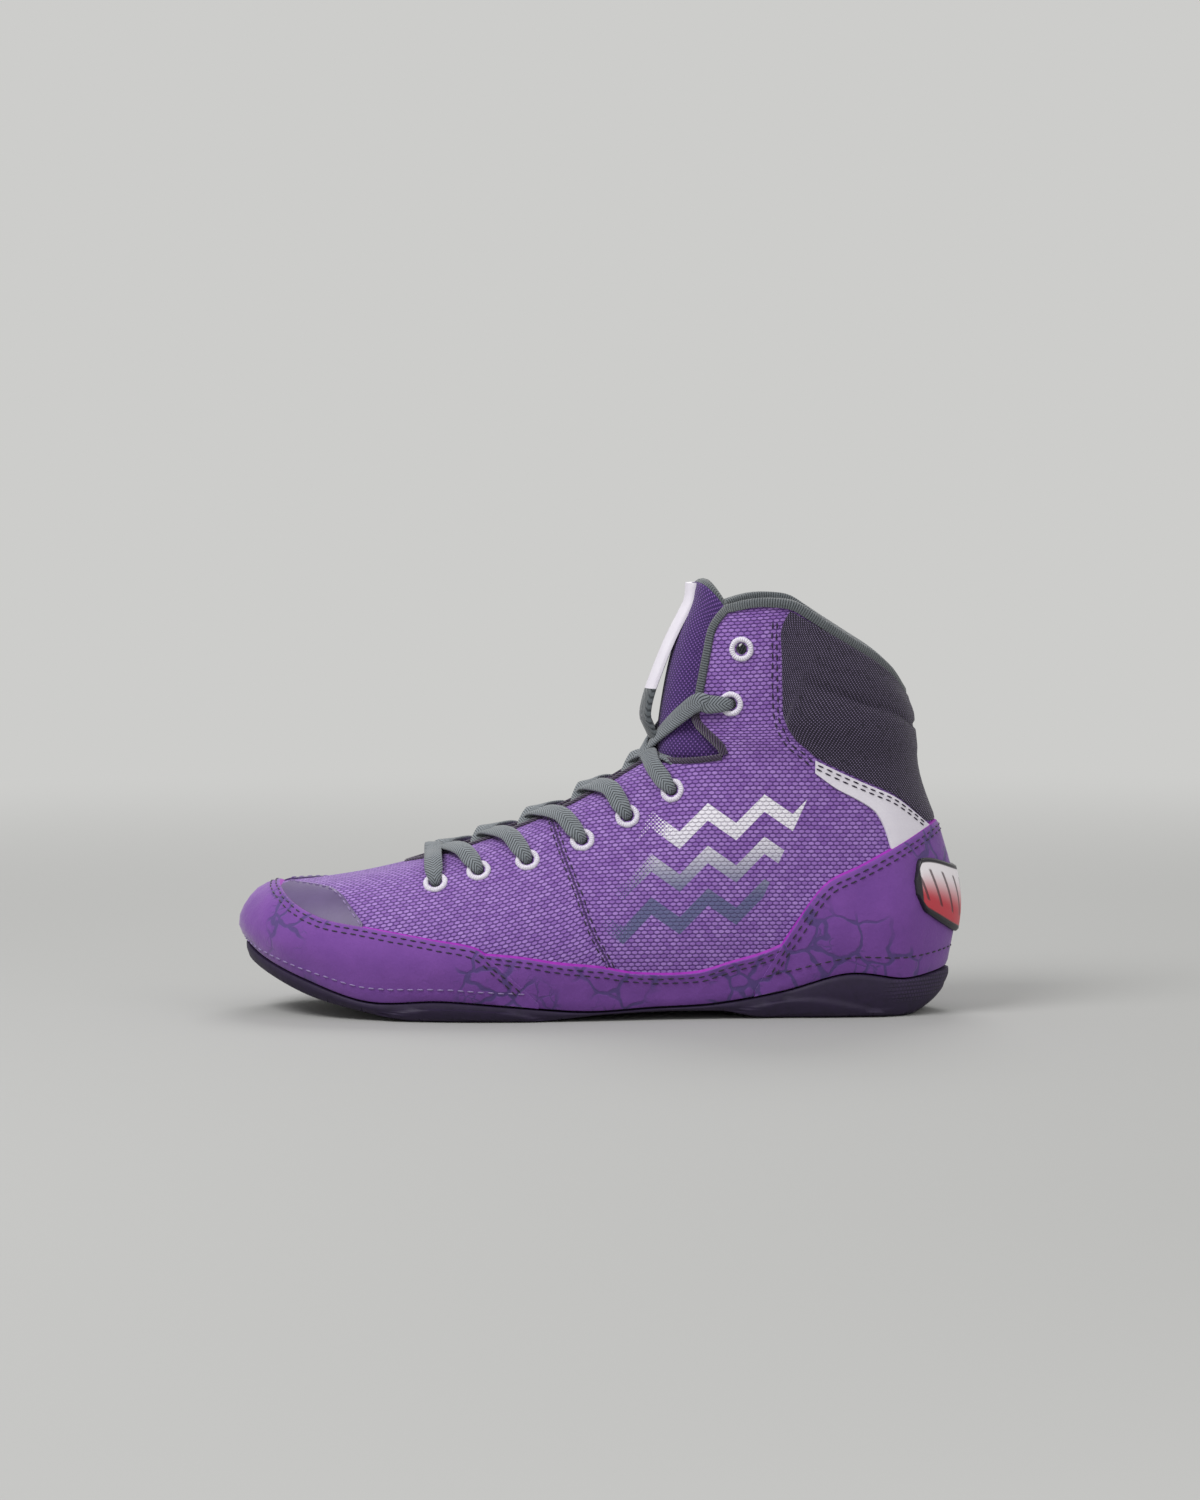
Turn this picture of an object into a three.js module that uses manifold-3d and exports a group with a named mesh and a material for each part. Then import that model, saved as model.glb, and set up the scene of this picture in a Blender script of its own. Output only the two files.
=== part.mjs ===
import * as THREE from 'three';
import { mergeVertices } from 'three/addons/utils/BufferGeometryUtils.js';
import Module from 'manifold-3d';

// Left high-top wrestling shoe. Millimetres, +X towards the toe, +Y to the outer side, +Z up.
// The origin is on the floor, under the middle of the heel.

const wasm = await Module();
wasm.setup();

// Driving sizes of the last
const shoeLength = 285;
const ballWidth = 94;
const heelWidth = 64;
const instepHeight = 102;
const shaftHeight = 163;
const ankleWidth = 64;
const heelRest = 44;

// Walls, layers and clearances
const upperWall = 2;
const collarWall = 4.5;
const clearance = 0.3;
const suedeThickness = 1.5;
const stripeThickness = 0.8;
const patchThickness = 0.9;
const cuffThickness = 3;
const bindingThickness = 1;
const bindingWidth = 2.4;
const pipingThickness = 0.8;
const pipingWidth = 1.3;
const featherTuck = 3.5;
const soleLip = 0.8;
const soleEdge = 3.4;
const soleFloor = 3.6;
const insoleThickness = 3;
const insoleInset = 5;
const insoleLift = 0.8;
const tongueThickness = 6.5;
const tongueHidden = 9;
const tongueTop = 1.13;
const tongueRound = 0.25;
const tongueRoundFrom = 0.7;
const eyeletOuter = 9.7;
const eyeletInner = 5.2;
const eyeletHeight = 1.1;
const eyeletHole = 4.4;
const laceWidth = 7.2;
const laceThickness = 1.8;
const keeperWidth = 17;
const keeperThickness = 2.4;
const badgeThickness = 1.6;

// How finely the solids are faceted
const stepsPerStation = 2;
const eyeletSides = 8;
const holeSides = 6;
const tongueColumns = 6;

// Rows of a table as objects with named columns
function table(names, rows) {
  const keys = names.split(' ');
  return rows.map((row) => Object.fromEntries(keys.map((key, i) => [key, row[i]])));
}

// Stations run from the toe tip (0) along one side to the back of the heel (12).
// along, ridge: shares of shoeLength; outer, inner: shares of the local width, which is heelWidth
// as far as heel says;
// feather, widest, top: shares of instepHeight; inward, rise: where the shoulder of the section lies
const stations = table('along outer inner heel feather widest inward rise ridge top', [
  [0.992, -0.06, 0.06, 0, 0.275, 0.325, 0.30, 0.74, 0.919, 0.495],
  [0.966, 0.150, 0.280, 0, 0.225, 0.310, 0.28, 0.75, 0.909, 0.500],
  [0.905, 0.320, 0.410, 0, 0.155, 0.270, 0.28, 0.76, 0.874, 0.512],
  [0.814, 0.440, 0.475, 0, 0.078, 0.230, 0.33, 0.78, 0.804, 0.548],
  [0.712, 0.500, 0.489, 0, 0.085, 0.220, 0.42, 0.80, 0.719, 0.612],
  [0.611, 0.500, 0.450, 0, 0.064, 0.215, 0.48, 0.82, 0.625, 0.705],
  [0.512, 0.462, 0.390, 0, 0.042, 0.220, 0.50, 0.82, 0.530, 0.825],
  [0.421, 0.460, 0.387, 0.33, 0.053, 0.240, 0.50, 0.80, 0.421, 1],
  [0.337, 0.486, 0.425, 0.67, 0.065, 0.265, 0.50, 0.62, 0.421, 1],
  [0.246, 0.516, 0.490, 1, 0.108, 0.310, 0.52, 0.55, 0.421, 1],
  [0.154, 0.500, 0.495, 1, 0.176, 0.345, 0.50, 0.52, 0.421, 1],
  [0.068, 0.400, 0.405, 1, 0.152, 0.370, 0.50, 0.50, 0.421, 1],
  [0.0055, 0, 0, 1, 0.180, 0.385, 0.34, 0.50, 0.421, 1],
]);
const heelStation = stations.length - 1;
const ridgeEnd = 7;
const notchStation = 8;
const throatStart = 3.5;

// Level ovals of the leg. high: share of the way from the instep to the collar;
// back, front: shares of shoeLength; wide: half width as a share of ankleWidth
const legLevels = [
  { high: 0, back: 0.066, front: 0.421, wide: 0.490 },
  { high: 0.35, back: 0.074, front: 0.411, wide: 0.500 },
  { high: 0.70, back: 0.083, front: 0.395, wide: 0.515 },
  { high: 1, back: 0.092, front: 0.368, wide: 0.530 },
];

// Front edge of the lacing flap, from the bottom of its notch to its top corner
const flapEdge = [
  { high: 0, along: 0.326 },
  { high: 0.06, along: 0.331 },
  { high: 0.14, along: 0.349 },
  { high: 0.23, along: 0.365 },
  { high: 0.39, along: 0.361 },
  { high: 0.67, along: 0.350 },
  { high: 0.82, along: 0.343 },
  { high: 0.90, along: 0.333 },
  { high: 1, along: 0.314 },
];

// Collar's top line. round: from the back (0) to the flap's corner (1); high: share of the leg's height
const collarLine = [
  { round: 0, high: 0.40 },
  { round: 0.1, high: 0.45 },
  { round: 0.2, high: 0.555 },
  { round: 0.3, high: 0.65 },
  { round: 0.4, high: 0.735 },
  { round: 0.5, high: 0.83 },
  { round: 0.6, high: 0.915 },
  { round: 0.7, high: 0.98 },
  { round: 0.8, high: 1 },
  { round: 0.9, high: 0.995 },
  { round: 1, high: 0.955 },
];

// How far up its section the upper is cut away for the throat, from the throat's start to the notch
const throatCut = [
  { station: 3.5, up: 1 },
  { station: 4, up: 0.90 },
  { station: 4.5, up: 0.885 },
  { station: 5, up: 0.875 },
  { station: 6, up: 0.87 },
  { station: 7, up: 0.88 },
  { station: 7.5, up: 0.935 },
  { station: 8, up: 1 },
];

// Underside of the sole. along: share of shoeLength; high: share of instepHeight above the floor;
// inset: share of ballWidth by which the pods' flats lie inside the edge
const soleProfile = [
  { along: 0, high: 0.10, inset: 0.050 },
  { along: 0.07, high: 0, inset: 0.040 },
  { along: 0.27, high: 0, inset: 0.045 },
  { along: 0.33, high: 0.030, inset: 0.030 },
  { along: 0.48, high: 0.026, inset: 0.020 },
  { along: 0.58, high: 0, inset: 0.035 },
  { along: 0.75, high: 0, inset: 0.045 },
  { along: 0.82, high: 0.032, inset: 0.040 },
  { along: 0.90, high: 0.088, inset: 0.035 },
  { along: 1, high: 0.215, inset: 0.025 },
];

// Cut edges of the overlays as the side view shows them.
// along: share of shoeLength; high: share of instepHeight
const toeRandEdge = [
  { along: 0.558, high: 0.020 },
  { along: 0.577, high: 0.070 },
  { along: 0.600, high: 0.135 },
  { along: 0.643, high: 0.240 },
  { along: 0.664, high: 0.280 },
  { along: 0.720, high: 0.308 },
  { along: 0.810, high: 0.350 },
  { along: 0.872, high: 0.378 },
  { along: 0.915, high: 0.430 },
  { along: 0.940, high: 0.492 },
  { along: 0.975, high: 0.620 },
];
const sideRandEdge = [
  { along: 0.240, high: 0.290 },
  { along: 0.273, high: 0.252 },
  { along: 0.312, high: 0.222 },
  { along: 0.365, high: 0.182 },
  { along: 0.445, high: 0.182 },
  { along: 0.498, high: 0.208 },
  { along: 0.550, high: 0.222 },
  { along: 0.600, high: 0.245 },
  { along: 0.664, high: 0.262 },
];
const counterEdge = [
  { along: 0, high: 0.755 },
  { along: 0.026, high: 0.742 },
  { along: 0.094, high: 0.645 },
  { along: 0.139, high: 0.580 },
  { along: 0.181, high: 0.525 },
  { along: 0.202, high: 0.465 },
  { along: 0.228, high: 0.360 },
  { along: 0.254, high: 0.250 },
  { along: 0.286, high: 0.100 },
  { along: 0.302, high: 0.020 },
];
const stripeTop = [
  { along: 0.040, high: 0.720 },
  { along: 0.065, high: 0.785 },
  { along: 0.091, high: 0.842 },
  { along: 0.125, high: 0.888 },
  { along: 0.159, high: 0.932 },
  { along: 0.201, high: 0.990 },
];
const stripeBottom = [
  { along: 0.095, high: 0.630 },
  { along: 0.101, high: 0.690 },
  { along: 0.108, high: 0.742 },
  { along: 0.119, high: 0.790 },
  { along: 0.143, high: 0.836 },
  { along: 0.173, high: 0.882 },
  { along: 0.201, high: 0.940 },
];
const patchEdge = [
  { along: 0.812, high: 0.350 },
  { along: 0.834, high: 0.424 },
  { along: 0.847, high: 0.464 },
  { along: 0.866, high: 0.490 },
  { along: 0.925, high: 0.497 },
  { along: 0.950, high: 0.500 },
];
// Front edge of the padded cuff, from the collar down to where it meets the stripe
const cuffFront = [
  { along: 0.247, high: 1.50 },
  { along: 0.247, high: 1.36 },
  { along: 0.246, high: 1.23 },
  { along: 0.241, high: 1.13 },
  { along: 0.226, high: 1.06 },
  { along: 0.203, high: 1.005 },
];

// Middles of the eyelets on the outer side. along: share of shoeLength; high: share of instepHeight
const eyeletPlaces = [
  { along: 0.720, high: 0.520 },
  { along: 0.661, high: 0.565 },
  { along: 0.594, high: 0.605 },
  { along: 0.519, high: 0.680 },
  { along: 0.457, high: 0.770 },
  { along: 0.396, high: 0.870 },
  { along: 0.316, high: 1.205 },
  { along: 0.302, high: 1.415 },
];

// Colours and finishes
const purpleWeave = new THREE.MeshStandardMaterial({ color: '#7f55a6', roughness: 0.85 });
const purpleSuede = new THREE.MeshStandardMaterial({ color: '#6a3a93', roughness: 0.9 });
const patchFilm = new THREE.MeshStandardMaterial({ color: '#6f5787', roughness: 0.6 });
const darkMesh = new THREE.MeshStandardMaterial({ color: '#2c2038', roughness: 0.9 });
const whiteFilm = new THREE.MeshStandardMaterial({ color: '#e6e2ea', roughness: 0.6 });
const greyKnit = new THREE.MeshStandardMaterial({ color: '#6c7675', roughness: 0.9 });
const tongueMesh = new THREE.MeshStandardMaterial({ color: '#593781', roughness: 0.9 });
const whiteThread = new THREE.MeshStandardMaterial({ color: '#f2eff4', roughness: 0.8 });
const soleRubber = new THREE.MeshStandardMaterial({ color: '#2a1c3e', roughness: 0.6 });
const badgeRubber = new THREE.MeshStandardMaterial({ color: '#b43a4a', roughness: 0.5 });
const foam = new THREE.MeshStandardMaterial({ color: '#3a3440', roughness: 0.95 });

// Small helpers for curves through table rows
const lerp = THREE.MathUtils.lerp;
const clamp = THREE.MathUtils.clamp;
const smoothstep = THREE.MathUtils.smoothstep;

function hermite(a, b, slopeA, slopeB, share) {
  const s2 = share * share;
  const s3 = s2 * share;
  return a * (2 * s3 - 3 * s2 + 1) + slopeA * (s3 - 2 * s2 + share)
    + b * (3 * s2 - 2 * s3) + slopeB * (s3 - s2);
}

// Smooth value of a column at a place along the rows, held at both ends
function follow(rows, key, place, value) {
  const last = rows.length - 1;
  if (place <= rows[0][key]) return rows[0][value];
  if (place >= rows[last][key]) return rows[last][value];
  let i = 0;
  while (place > rows[i + 1][key]) i += 1;
  const width = rows[i + 1][key] - rows[i][key];
  const slope = (j) => {
    const before = rows[Math.max(j - 1, 0)];
    const after = rows[Math.min(j + 1, last)];
    return (after[value] - before[value]) / (after[key] - before[key]) * width;
  };
  const share = (place - rows[i][key]) / width;
  return hermite(rows[i][value], rows[i + 1][value], slope(i), slope(i + 1), share);
}

// Smooth value of a column round the whole shoe: outer side 0 to 12, inner side 12 to 24
const round = 2 * heelStation;
const wrap = (station) => ((station % round) + round) % round;
const fold = (station) => Math.round(Math.min(wrap(station), round - wrap(station)) * 1e6) / 1e6;
const sideOf = (station) => (wrap(station) <= heelStation ? 1 : -1);

function around(station, read) {
  const k = wrap(station);
  const i = Math.floor(k);
  const node = (j) => read(stations[fold(j)], sideOf(j));
  const before = node(i - 1);
  const a = node(i);
  const b = node(i + 1);
  const after = node(i + 2);
  return hermite(a, b, (b - before) / 2, (after - a) / 2, k - i);
}

// Plan outline of the upper at its widest, and the direction that points out of it
function outline(station) {
  const x = around(station, (row) => row.along * shoeLength);
  const y = around(station, (row, side) => {
    const width = lerp(ballWidth, heelWidth, row.heel);
    return side > 0 ? row.outer * width : -row.inner * width;
  });
  return new THREE.Vector3(x, y, 0);
}

function outward(station) {
  const along = outline(station + 0.02).sub(outline(station - 0.02));
  return new THREE.Vector3(along.y, -along.x, 0).normalize();
}

// Heights are held per folded station, so that both sides agree
const columnOf = (name, scale) => (station) => around(station, (row) => row[name] * scale);
const featherHeight = columnOf('feather', instepHeight);
const widestHeight = columnOf('widest', instepHeight);
const stationRows = stations.map((row, station) => ({ station, ...row }));

function ridgePoint(station) {
  const k = Math.min(fold(station), ridgeEnd);
  const x = follow(stationRows, 'station', k, 'ridge') * shoeLength;
  const z = follow(stationRows, 'station', k, 'top') * instepHeight;
  const toeLean = stations[0].outer * ballWidth;
  return new THREE.Vector3(x, toeLean * Math.max(0, 1 - k / 4), z);
}

// A point of the leg: angle from the back (0) to the front (pi), and share of the leg's height
function legPoint(angle, high, side) {
  const back = follow(legLevels, 'high', high, 'back') * shoeLength;
  const front = follow(legLevels, 'high', high, 'front') * shoeLength;
  const wide = follow(legLevels, 'high', high, 'wide') * ankleWidth;
  const x = (back + front) / 2 - (front - back) / 2 * Math.cos(angle);
  const y = side * wide * Math.pow(Math.max(Math.sin(angle), 0), 0.9);
  return new THREE.Vector3(x, y, instepHeight + high * (shaftHeight - instepHeight));
}

// Angle at which the flap's front edge cuts the leg at this height
function flapAngle(high) {
  const back = follow(legLevels, 'high', high, 'back') * shoeLength;
  const front = follow(legLevels, 'high', high, 'front') * shoeLength;
  const x = follow(flapEdge, 'high', high, 'along') * shoeLength;
  return Math.acos(clamp(((back + front) / 2 - x) / ((front - back) / 2), -1, 1));
}

const roundOf = (station) => (heelStation - fold(station)) / (heelStation - notchStation);

function topPoint(station) {
  const k = fold(station);
  const side = sideOf(station);
  if (k <= ridgeEnd) return ridgePoint(station);
  if (k >= notchStation) return legPoint(flapAngle(0) * roundOf(station), 0, side);
  return legPoint(lerp(Math.PI, flapAngle(0), k - ridgeEnd), 0, side);
}

// The upper's outer face. up: 0 at the feather, 1 at the ridge or the instep's level, 2 at the collar
const widestUp = 0.22;
const shoulderUp = 0.62;

function surface(station, up) {
  const k = fold(station);
  const side = sideOf(station);
  if (up > 1) {
    const share = clamp(roundOf(station), 0, 1);
    const high = follow(collarLine, 'round', share, 'high') * (up - 1);
    return legPoint(flapAngle(high) * share, high, side);
  }
  const out = outward(station);
  const wide = outline(station);
  const top = topPoint(station);
  const widest = widestHeight(station);
  const foot = wide.clone().addScaledVector(out, -featherTuck).setZ(featherHeight(station));
  const belly = wide.clone().setZ(widest);
  const inward = follow(stationRows, 'station', k, 'inward');
  const rise = follow(stationRows, 'station', k, 'rise');
  const shoulder = wide.clone().lerp(top, inward).setZ(lerp(widest, top.z, rise));
  if (up <= widestUp) {
    const share = up / widestUp;
    const slope = shoulder.clone().sub(foot).multiplyScalar(widestUp / shoulderUp);
    slope.x = 0;
    slope.y = 0;
    slope.addScaledVector(out, featherTuck * 0.4);
    const start = belly.clone().sub(foot).multiplyScalar(1.3);
    return blendPoint(foot, belly, start, slope, share);
  }
  const bellySlope = shoulder.clone().sub(foot).multiplyScalar(1 / shoulderUp);
  bellySlope.x = out.x * featherTuck * 0.4 / widestUp;
  bellySlope.y = out.y * featherTuck * 0.4 / widestUp;
  const shoulderSlope = top.clone().sub(belly).multiplyScalar(1 / (1 - widestUp));
  if (up <= shoulderUp) {
    const width = shoulderUp - widestUp;
    bellySlope.multiplyScalar(width);
    shoulderSlope.multiplyScalar(width);
    return blendPoint(belly, shoulder, bellySlope, shoulderSlope, (up - widestUp) / width);
  }
  const width = 1 - shoulderUp;
  const flat = top.clone().sub(shoulder).setZ(0).multiplyScalar(1.25 / width);
  const legShare = clamp(k - ridgeEnd, 0, 1);
  if (legShare > 0) {
    const angle = k >= notchStation
      ? flapAngle(0) * roundOf(station)
      : lerp(Math.PI, flapAngle(0), legShare);
    const rising = legPoint(angle, 0.05, side).sub(legPoint(angle, 0, side)).normalize();
    rising.multiplyScalar(top.distanceTo(shoulder) / width);
    flat.lerp(rising, legShare);
  }
  return blendPoint(shoulder, top, shoulderSlope.multiplyScalar(width), flat.multiplyScalar(width),
    (up - shoulderUp) / width);
}

function blendPoint(a, b, slopeA, slopeB, share) {
  return new THREE.Vector3(
    hermite(a.x, b.x, slopeA.x, slopeB.x, share),
    hermite(a.y, b.y, slopeA.y, slopeB.y, share),
    hermite(a.z, b.z, slopeA.z, slopeB.z, share),
  );
}

// Direction out of the upper's face
function normalAt(station, up) {
  const k = fold(station);
  const limit = k < notchStation ? 0.985 : 2;
  const u = Math.min(up, limit);
  const step = 0.02;
  const lower = Math.max(u - step, 0);
  const upper = Math.min(u + step, limit);
  const rising = surface(station, upper).sub(surface(station, lower));
  const going = surface(station + 0.04, u).sub(surface(station - 0.04, u));
  return going.cross(rising).normalize();
}

// A point at a distance outside (+) or inside (-) the upper's outer face.
// On the ridge both sides share one direction, so that they meet.
function offsetPoint(station, up, distance) {
  const k = fold(station);
  const point = surface(station, up);
  const normal = normalAt(station, up);
  if (up >= 0.999 && k <= throatStart + 0.001) {
    normal.add(normalAt(-station, up)).normalize();
  }
  return point.addScaledVector(normal, distance);
}

// Where a section reaches the height that an edge table gives for that place
function cutUp(station, edge, from = 0, to = 2) {
  const above = (up) => {
    const p = surface(station, up);
    return p.z - follow(edge, 'along', p.x / shoeLength, 'high') * instepHeight;
  };
  let low = from;
  let high = fold(station) < notchStation ? Math.min(to, 1) : to;
  if (above(low) > 0) return low;
  if (above(high) < 0) return high;
  for (let i = 0; i < 22; i += 1) {
    const middle = (low + high) / 2;
    if (above(middle) > 0) high = middle;
    else low = middle;
  }
  return (low + high) / 2;
}

// Station and height share of the place that the side view shows at this spot
function placeOn(spot, side) {
  const x = spot.along * shoeLength;
  const z = spot.high * instepHeight;
  let best = { miss: Infinity };
  const miss = (station, up) => {
    const p = surface(station, up);
    return Math.hypot(p.x - x, p.z - z);
  };
  for (let k = 0; k <= heelStation; k += 0.5) {
    const limit = k < notchStation ? 1 : 2;
    for (let up = 0; up <= limit; up += 0.1) {
      const m = miss(k, up);
      if (m < best.miss) best = { miss: m, station: k, up };
    }
  }
  let reach = 0.4;
  while (reach > 0.0005) {
    let better = null;
    for (const [dk, du] of [[1, 0], [-1, 0], [0, 0.25], [0, -0.25]]) {
      const station = clamp(best.station + dk * reach, 0, heelStation);
      const up = clamp(best.up + du * reach, 0, station < notchStation ? 1 : 2);
      const m = miss(station, up);
      if (m < best.miss && (!better || m < better.miss)) better = { miss: m, station, up };
    }
    if (better) best = better;
    else reach /= 2;
  }
  return { station: side > 0 ? best.station : round - best.station, up: best.up };
}

// Turns lists of corners and faces into closed geometry
function solidFrom(points, faces) {
  const geometry = new THREE.BufferGeometry();
  const numbers = points.flatMap((p) => [p.x, p.y, p.z]);
  geometry.setAttribute('position', new THREE.Float32BufferAttribute(numbers, 3));
  geometry.setIndex(faces.flat());
  return tidy(geometry);
}

function tidy(geometry) {
  const bare = geometry.clone();
  bare.deleteAttribute('normal');
  bare.deleteAttribute('uv');
  const merged = mergeVertices(bare, 1e-3);
  const index = merged.getIndex().array;
  const kept = [];
  for (let i = 0; i < index.length; i += 3) {
    const [a, b, c] = [index[i], index[i + 1], index[i + 2]];
    if (a !== b && b !== c && c !== a) kept.push(a, b, c);
  }
  merged.setIndex(kept);
  if (volumeOf(merged) < 0) {
    const flipped = [];
    for (let i = 0; i < kept.length; i += 3) flipped.push(kept[i], kept[i + 2], kept[i + 1]);
    merged.setIndex(flipped);
  }
  return merged;
}

function volumeOf(geometry) {
  const p = geometry.getAttribute('position');
  const index = geometry.getIndex().array;
  const corner = (i) => new THREE.Vector3().fromBufferAttribute(p, index[i]);
  let volume = 0;
  for (let i = 0; i < index.length; i += 3) {
    volume += corner(i).dot(corner(i + 1).cross(corner(i + 2))) / 6;
  }
  return volume;
}

function toManifold(geometry) {
  const merged = tidy(geometry);
  return new wasm.Manifold(new wasm.Mesh({
    numProp: 3,
    vertProperties: new Float32Array(merged.getAttribute('position').array),
    triVerts: new Uint32Array(merged.getIndex().array),
  }));
}

function fromManifold(solid) {
  const mesh = solid.getMesh();
  const geometry = new THREE.BufferGeometry();
  geometry.setAttribute('position', new THREE.Float32BufferAttribute(mesh.vertProperties, 3));
  geometry.setIndex(new THREE.Uint32BufferAttribute(mesh.triVerts, 1));
  return geometry;
}

// Closed slab between two grids of the same size: outer(i, j) and inner(i, j)
function slab(columns, rows, outer, inner) {
  const points = [];
  const faces = [];
  const at = (layer, i, j) => (layer * (columns + 1) + i) * (rows + 1) + j;
  for (const place of [outer, inner]) {
    for (let i = 0; i <= columns; i += 1) {
      for (let j = 0; j <= rows; j += 1) points.push(place(i, j));
    }
  }
  const quad = (a, b, c, d) => faces.push([a, b, c], [a, c, d]);
  for (let i = 0; i < columns; i += 1) {
    for (let j = 0; j < rows; j += 1) {
      quad(at(0, i, j), at(0, i + 1, j), at(0, i + 1, j + 1), at(0, i, j + 1));
      quad(at(1, i, j), at(1, i, j + 1), at(1, i + 1, j + 1), at(1, i + 1, j));
    }
  }
  for (let i = 0; i < columns; i += 1) {
    quad(at(0, i, 0), at(1, i, 0), at(1, i + 1, 0), at(0, i + 1, 0));
    quad(at(0, i, rows), at(0, i + 1, rows), at(1, i + 1, rows), at(1, i, rows));
  }
  for (let j = 0; j < rows; j += 1) {
    quad(at(0, 0, j), at(0, 0, j + 1), at(1, 0, j + 1), at(1, 0, j));
    quad(at(0, columns, j), at(1, columns, j), at(1, columns, j + 1), at(0, columns, j + 1));
  }
  return solidFrom(points, faces);
}

// Overlay on the upper: lower(share) and upper(share) give its two long edges as station and up,
// rowShares how its rows lie between them, and thickness its thickness at a share of length and height
function overlaySlab(columns, rowShares, lower, upper, thickness, lift = clearance) {
  const spot = (i, j) => {
    const a = lower(i / columns);
    const b = upper(i / columns);
    return [lerp(a.station, b.station, rowShares[j]), lerp(a.up, b.up, rowShares[j])];
  };
  const even = typeof thickness === 'number';
  const thick = (i, j) => (even ? thickness : thickness(i / columns, rowShares[j]));
  return slab(columns, rowShares.length - 1,
    (i, j) => offsetPoint(...spot(i, j), lift + thick(i, j)),
    (i, j) => offsetPoint(...spot(i, j), -upperWall / 2));
}

// Station where an edge meets another edge, searched between two stations
function meetingStation(first, second, from, to) {
  const ahead = (k) => cutUp(k, first) - cutUp(k, second);
  let a = from;
  let b = to;
  const sign = Math.sign(ahead(a));
  for (let i = 0; i < 24; i += 1) {
    const middle = (a + b) / 2;
    if (Math.sign(ahead(middle)) === sign) a = middle;
    else b = middle;
  }
  return (a + b) / 2;
}

// Upper: one textile wall from the feather to the throat and collar
const columnsAround = [];
for (let i = 0; i < round * stepsPerStation; i += 1) columnsAround.push(i / stepsPerStation);
const footRows = [0, 0.13, 0.27, 0.45, 0.63, 0.81, 1];
const legRows = [0.08, 0.2, 0.4, 0.68, 1];

function rimUp(station) {
  const k = fold(station);
  if (k <= throatStart) return 1;
  if (k < notchStation) return follow(throatCut, 'station', k, 'up');
  return 1;
}

function wallAt(station, up) {
  const padded = smoothstep(fold(station), 8.6, 9.6) * smoothstep(up, 0.75, 1.15);
  return lerp(upperWall, collarWall, padded);
}

// grow thickens the wall on both faces, for what has to lie clear of it
function makeUpper(grow = 0) {
  const points = [];
  const faces = [];
  const quad = (a, b, c, d) => faces.push([a, b, c], [a, c, d]);
  const count = columnsAround.length;
  const grids = [0, 1].map((layer) => columnsAround.map((station) => {
    const cut = rimUp(station);
    const heights = footRows.map((share) => share * cut);
    if (fold(station) >= notchStation) heights.push(...legRows.map((share) => 1 + share));
    return heights.map((up) => {
      const point = offsetPoint(station, up, layer === 0 ? grow : -wallAt(station, up) - grow);
      if (up === 0) point.z -= grow * 4;
      points.push(point);
      return points.length - 1;
    });
  }));
  const [outer, inner] = grids;
  for (let i = 0; i < count; i += 1) {
    const n = (i + 1) % count;
    const rows = Math.min(outer[i].length, outer[n].length) - 1;
    for (let j = 0; j < rows; j += 1) {
      quad(outer[i][j], outer[n][j], outer[n][j + 1], outer[i][j + 1]);
      quad(inner[i][j], inner[i][j + 1], inner[n][j + 1], inner[n][j]);
    }
    quad(outer[i][0], inner[i][0], inner[n][0], outer[n][0]);
    const open = Math.max(fold(columnsAround[i]), fold(columnsAround[n])) > throatStart + 0.001;
    if (open) quad(outer[i][rows], outer[n][rows], inner[n][rows], inner[i][rows]);
    for (const [column, other] of [[i, n], [n, i]]) {
      if (outer[column].length <= outer[other].length) continue;
      for (let j = rows; j < outer[column].length - 1; j += 1) {
        const ring = [outer[column][j], outer[column][j + 1], inner[column][j + 1], inner[column][j]];
        if (column === i) ring.reverse();
        quad(...ring);
      }
    }
  }
  return solidFrom(points, faces);
}

const eyelets = [];
for (const side of [1, -1]) {
  eyeletPlaces.forEach((spot, i) => eyelets.push({
    name: `eyelet_${side > 0 ? 'outer' : 'inner'}_${i + 1}`,
    side,
    ...placeOn(spot, side),
  }));
}

// Frame that stands on the upper's face, its Z pointing out of it
function standOn(station, up, distance) {
  const normal = normalAt(station, up);
  const turn = new THREE.Quaternion().setFromUnitVectors(new THREE.Vector3(0, 0, 1), normal);
  return new THREE.Matrix4().compose(offsetPoint(station, up, distance), turn, new THREE.Vector3(1, 1, 1));
}

function eyeletHoleTool(eyelet) {
  const reach = upperWall * 6;
  const tool = new THREE.CylinderGeometry(eyeletHole / 2, eyeletHole / 2, reach, holeSides);
  tool.rotateX(Math.PI / 2);
  return toManifold(tool.applyMatrix4(standOn(eyelet.station, eyelet.up, 0)));
}

const upperRoom = toManifold(makeUpper(clearance));

// Facets thinner than this are merged where pieces were cut
const sliver = 0.02;

// What is left of a piece once the upper and its clearance are taken from it
function seated(geometry, ...others) {
  let solid = toManifold(geometry).subtract(upperRoom);
  for (const other of others) solid = solid.subtract(other);
  const bodies = solid.decompose().sort((a, b) => b.volume() - a.volume());
  return fromManifold(bodies[0].simplify(sliver));
}

let upperSolid = toManifold(makeUpper());
for (const eyelet of eyelets) upperSolid = upperSolid.subtract(eyeletHoleTool(eyelet));

// Raised ring of thread round an eyelet hole
function makeEyelet(eyelet) {
  const inner = eyeletInner / 2;
  const outer = eyeletOuter / 2;
  const low = clearance;
  const profile = [
    [inner, low],
    [outer, low],
    [(inner + outer) / 2, low + eyeletHeight],
    [inner, low],
  ].map(([r, z]) => new THREE.Vector2(r, z));
  const ring = new THREE.LatheGeometry(profile, eyeletSides);
  ring.rotateX(Math.PI / 2);
  return seated(ring.applyMatrix4(standOn(eyelet.station, eyelet.up, seatLift(eyelet))));
}

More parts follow.
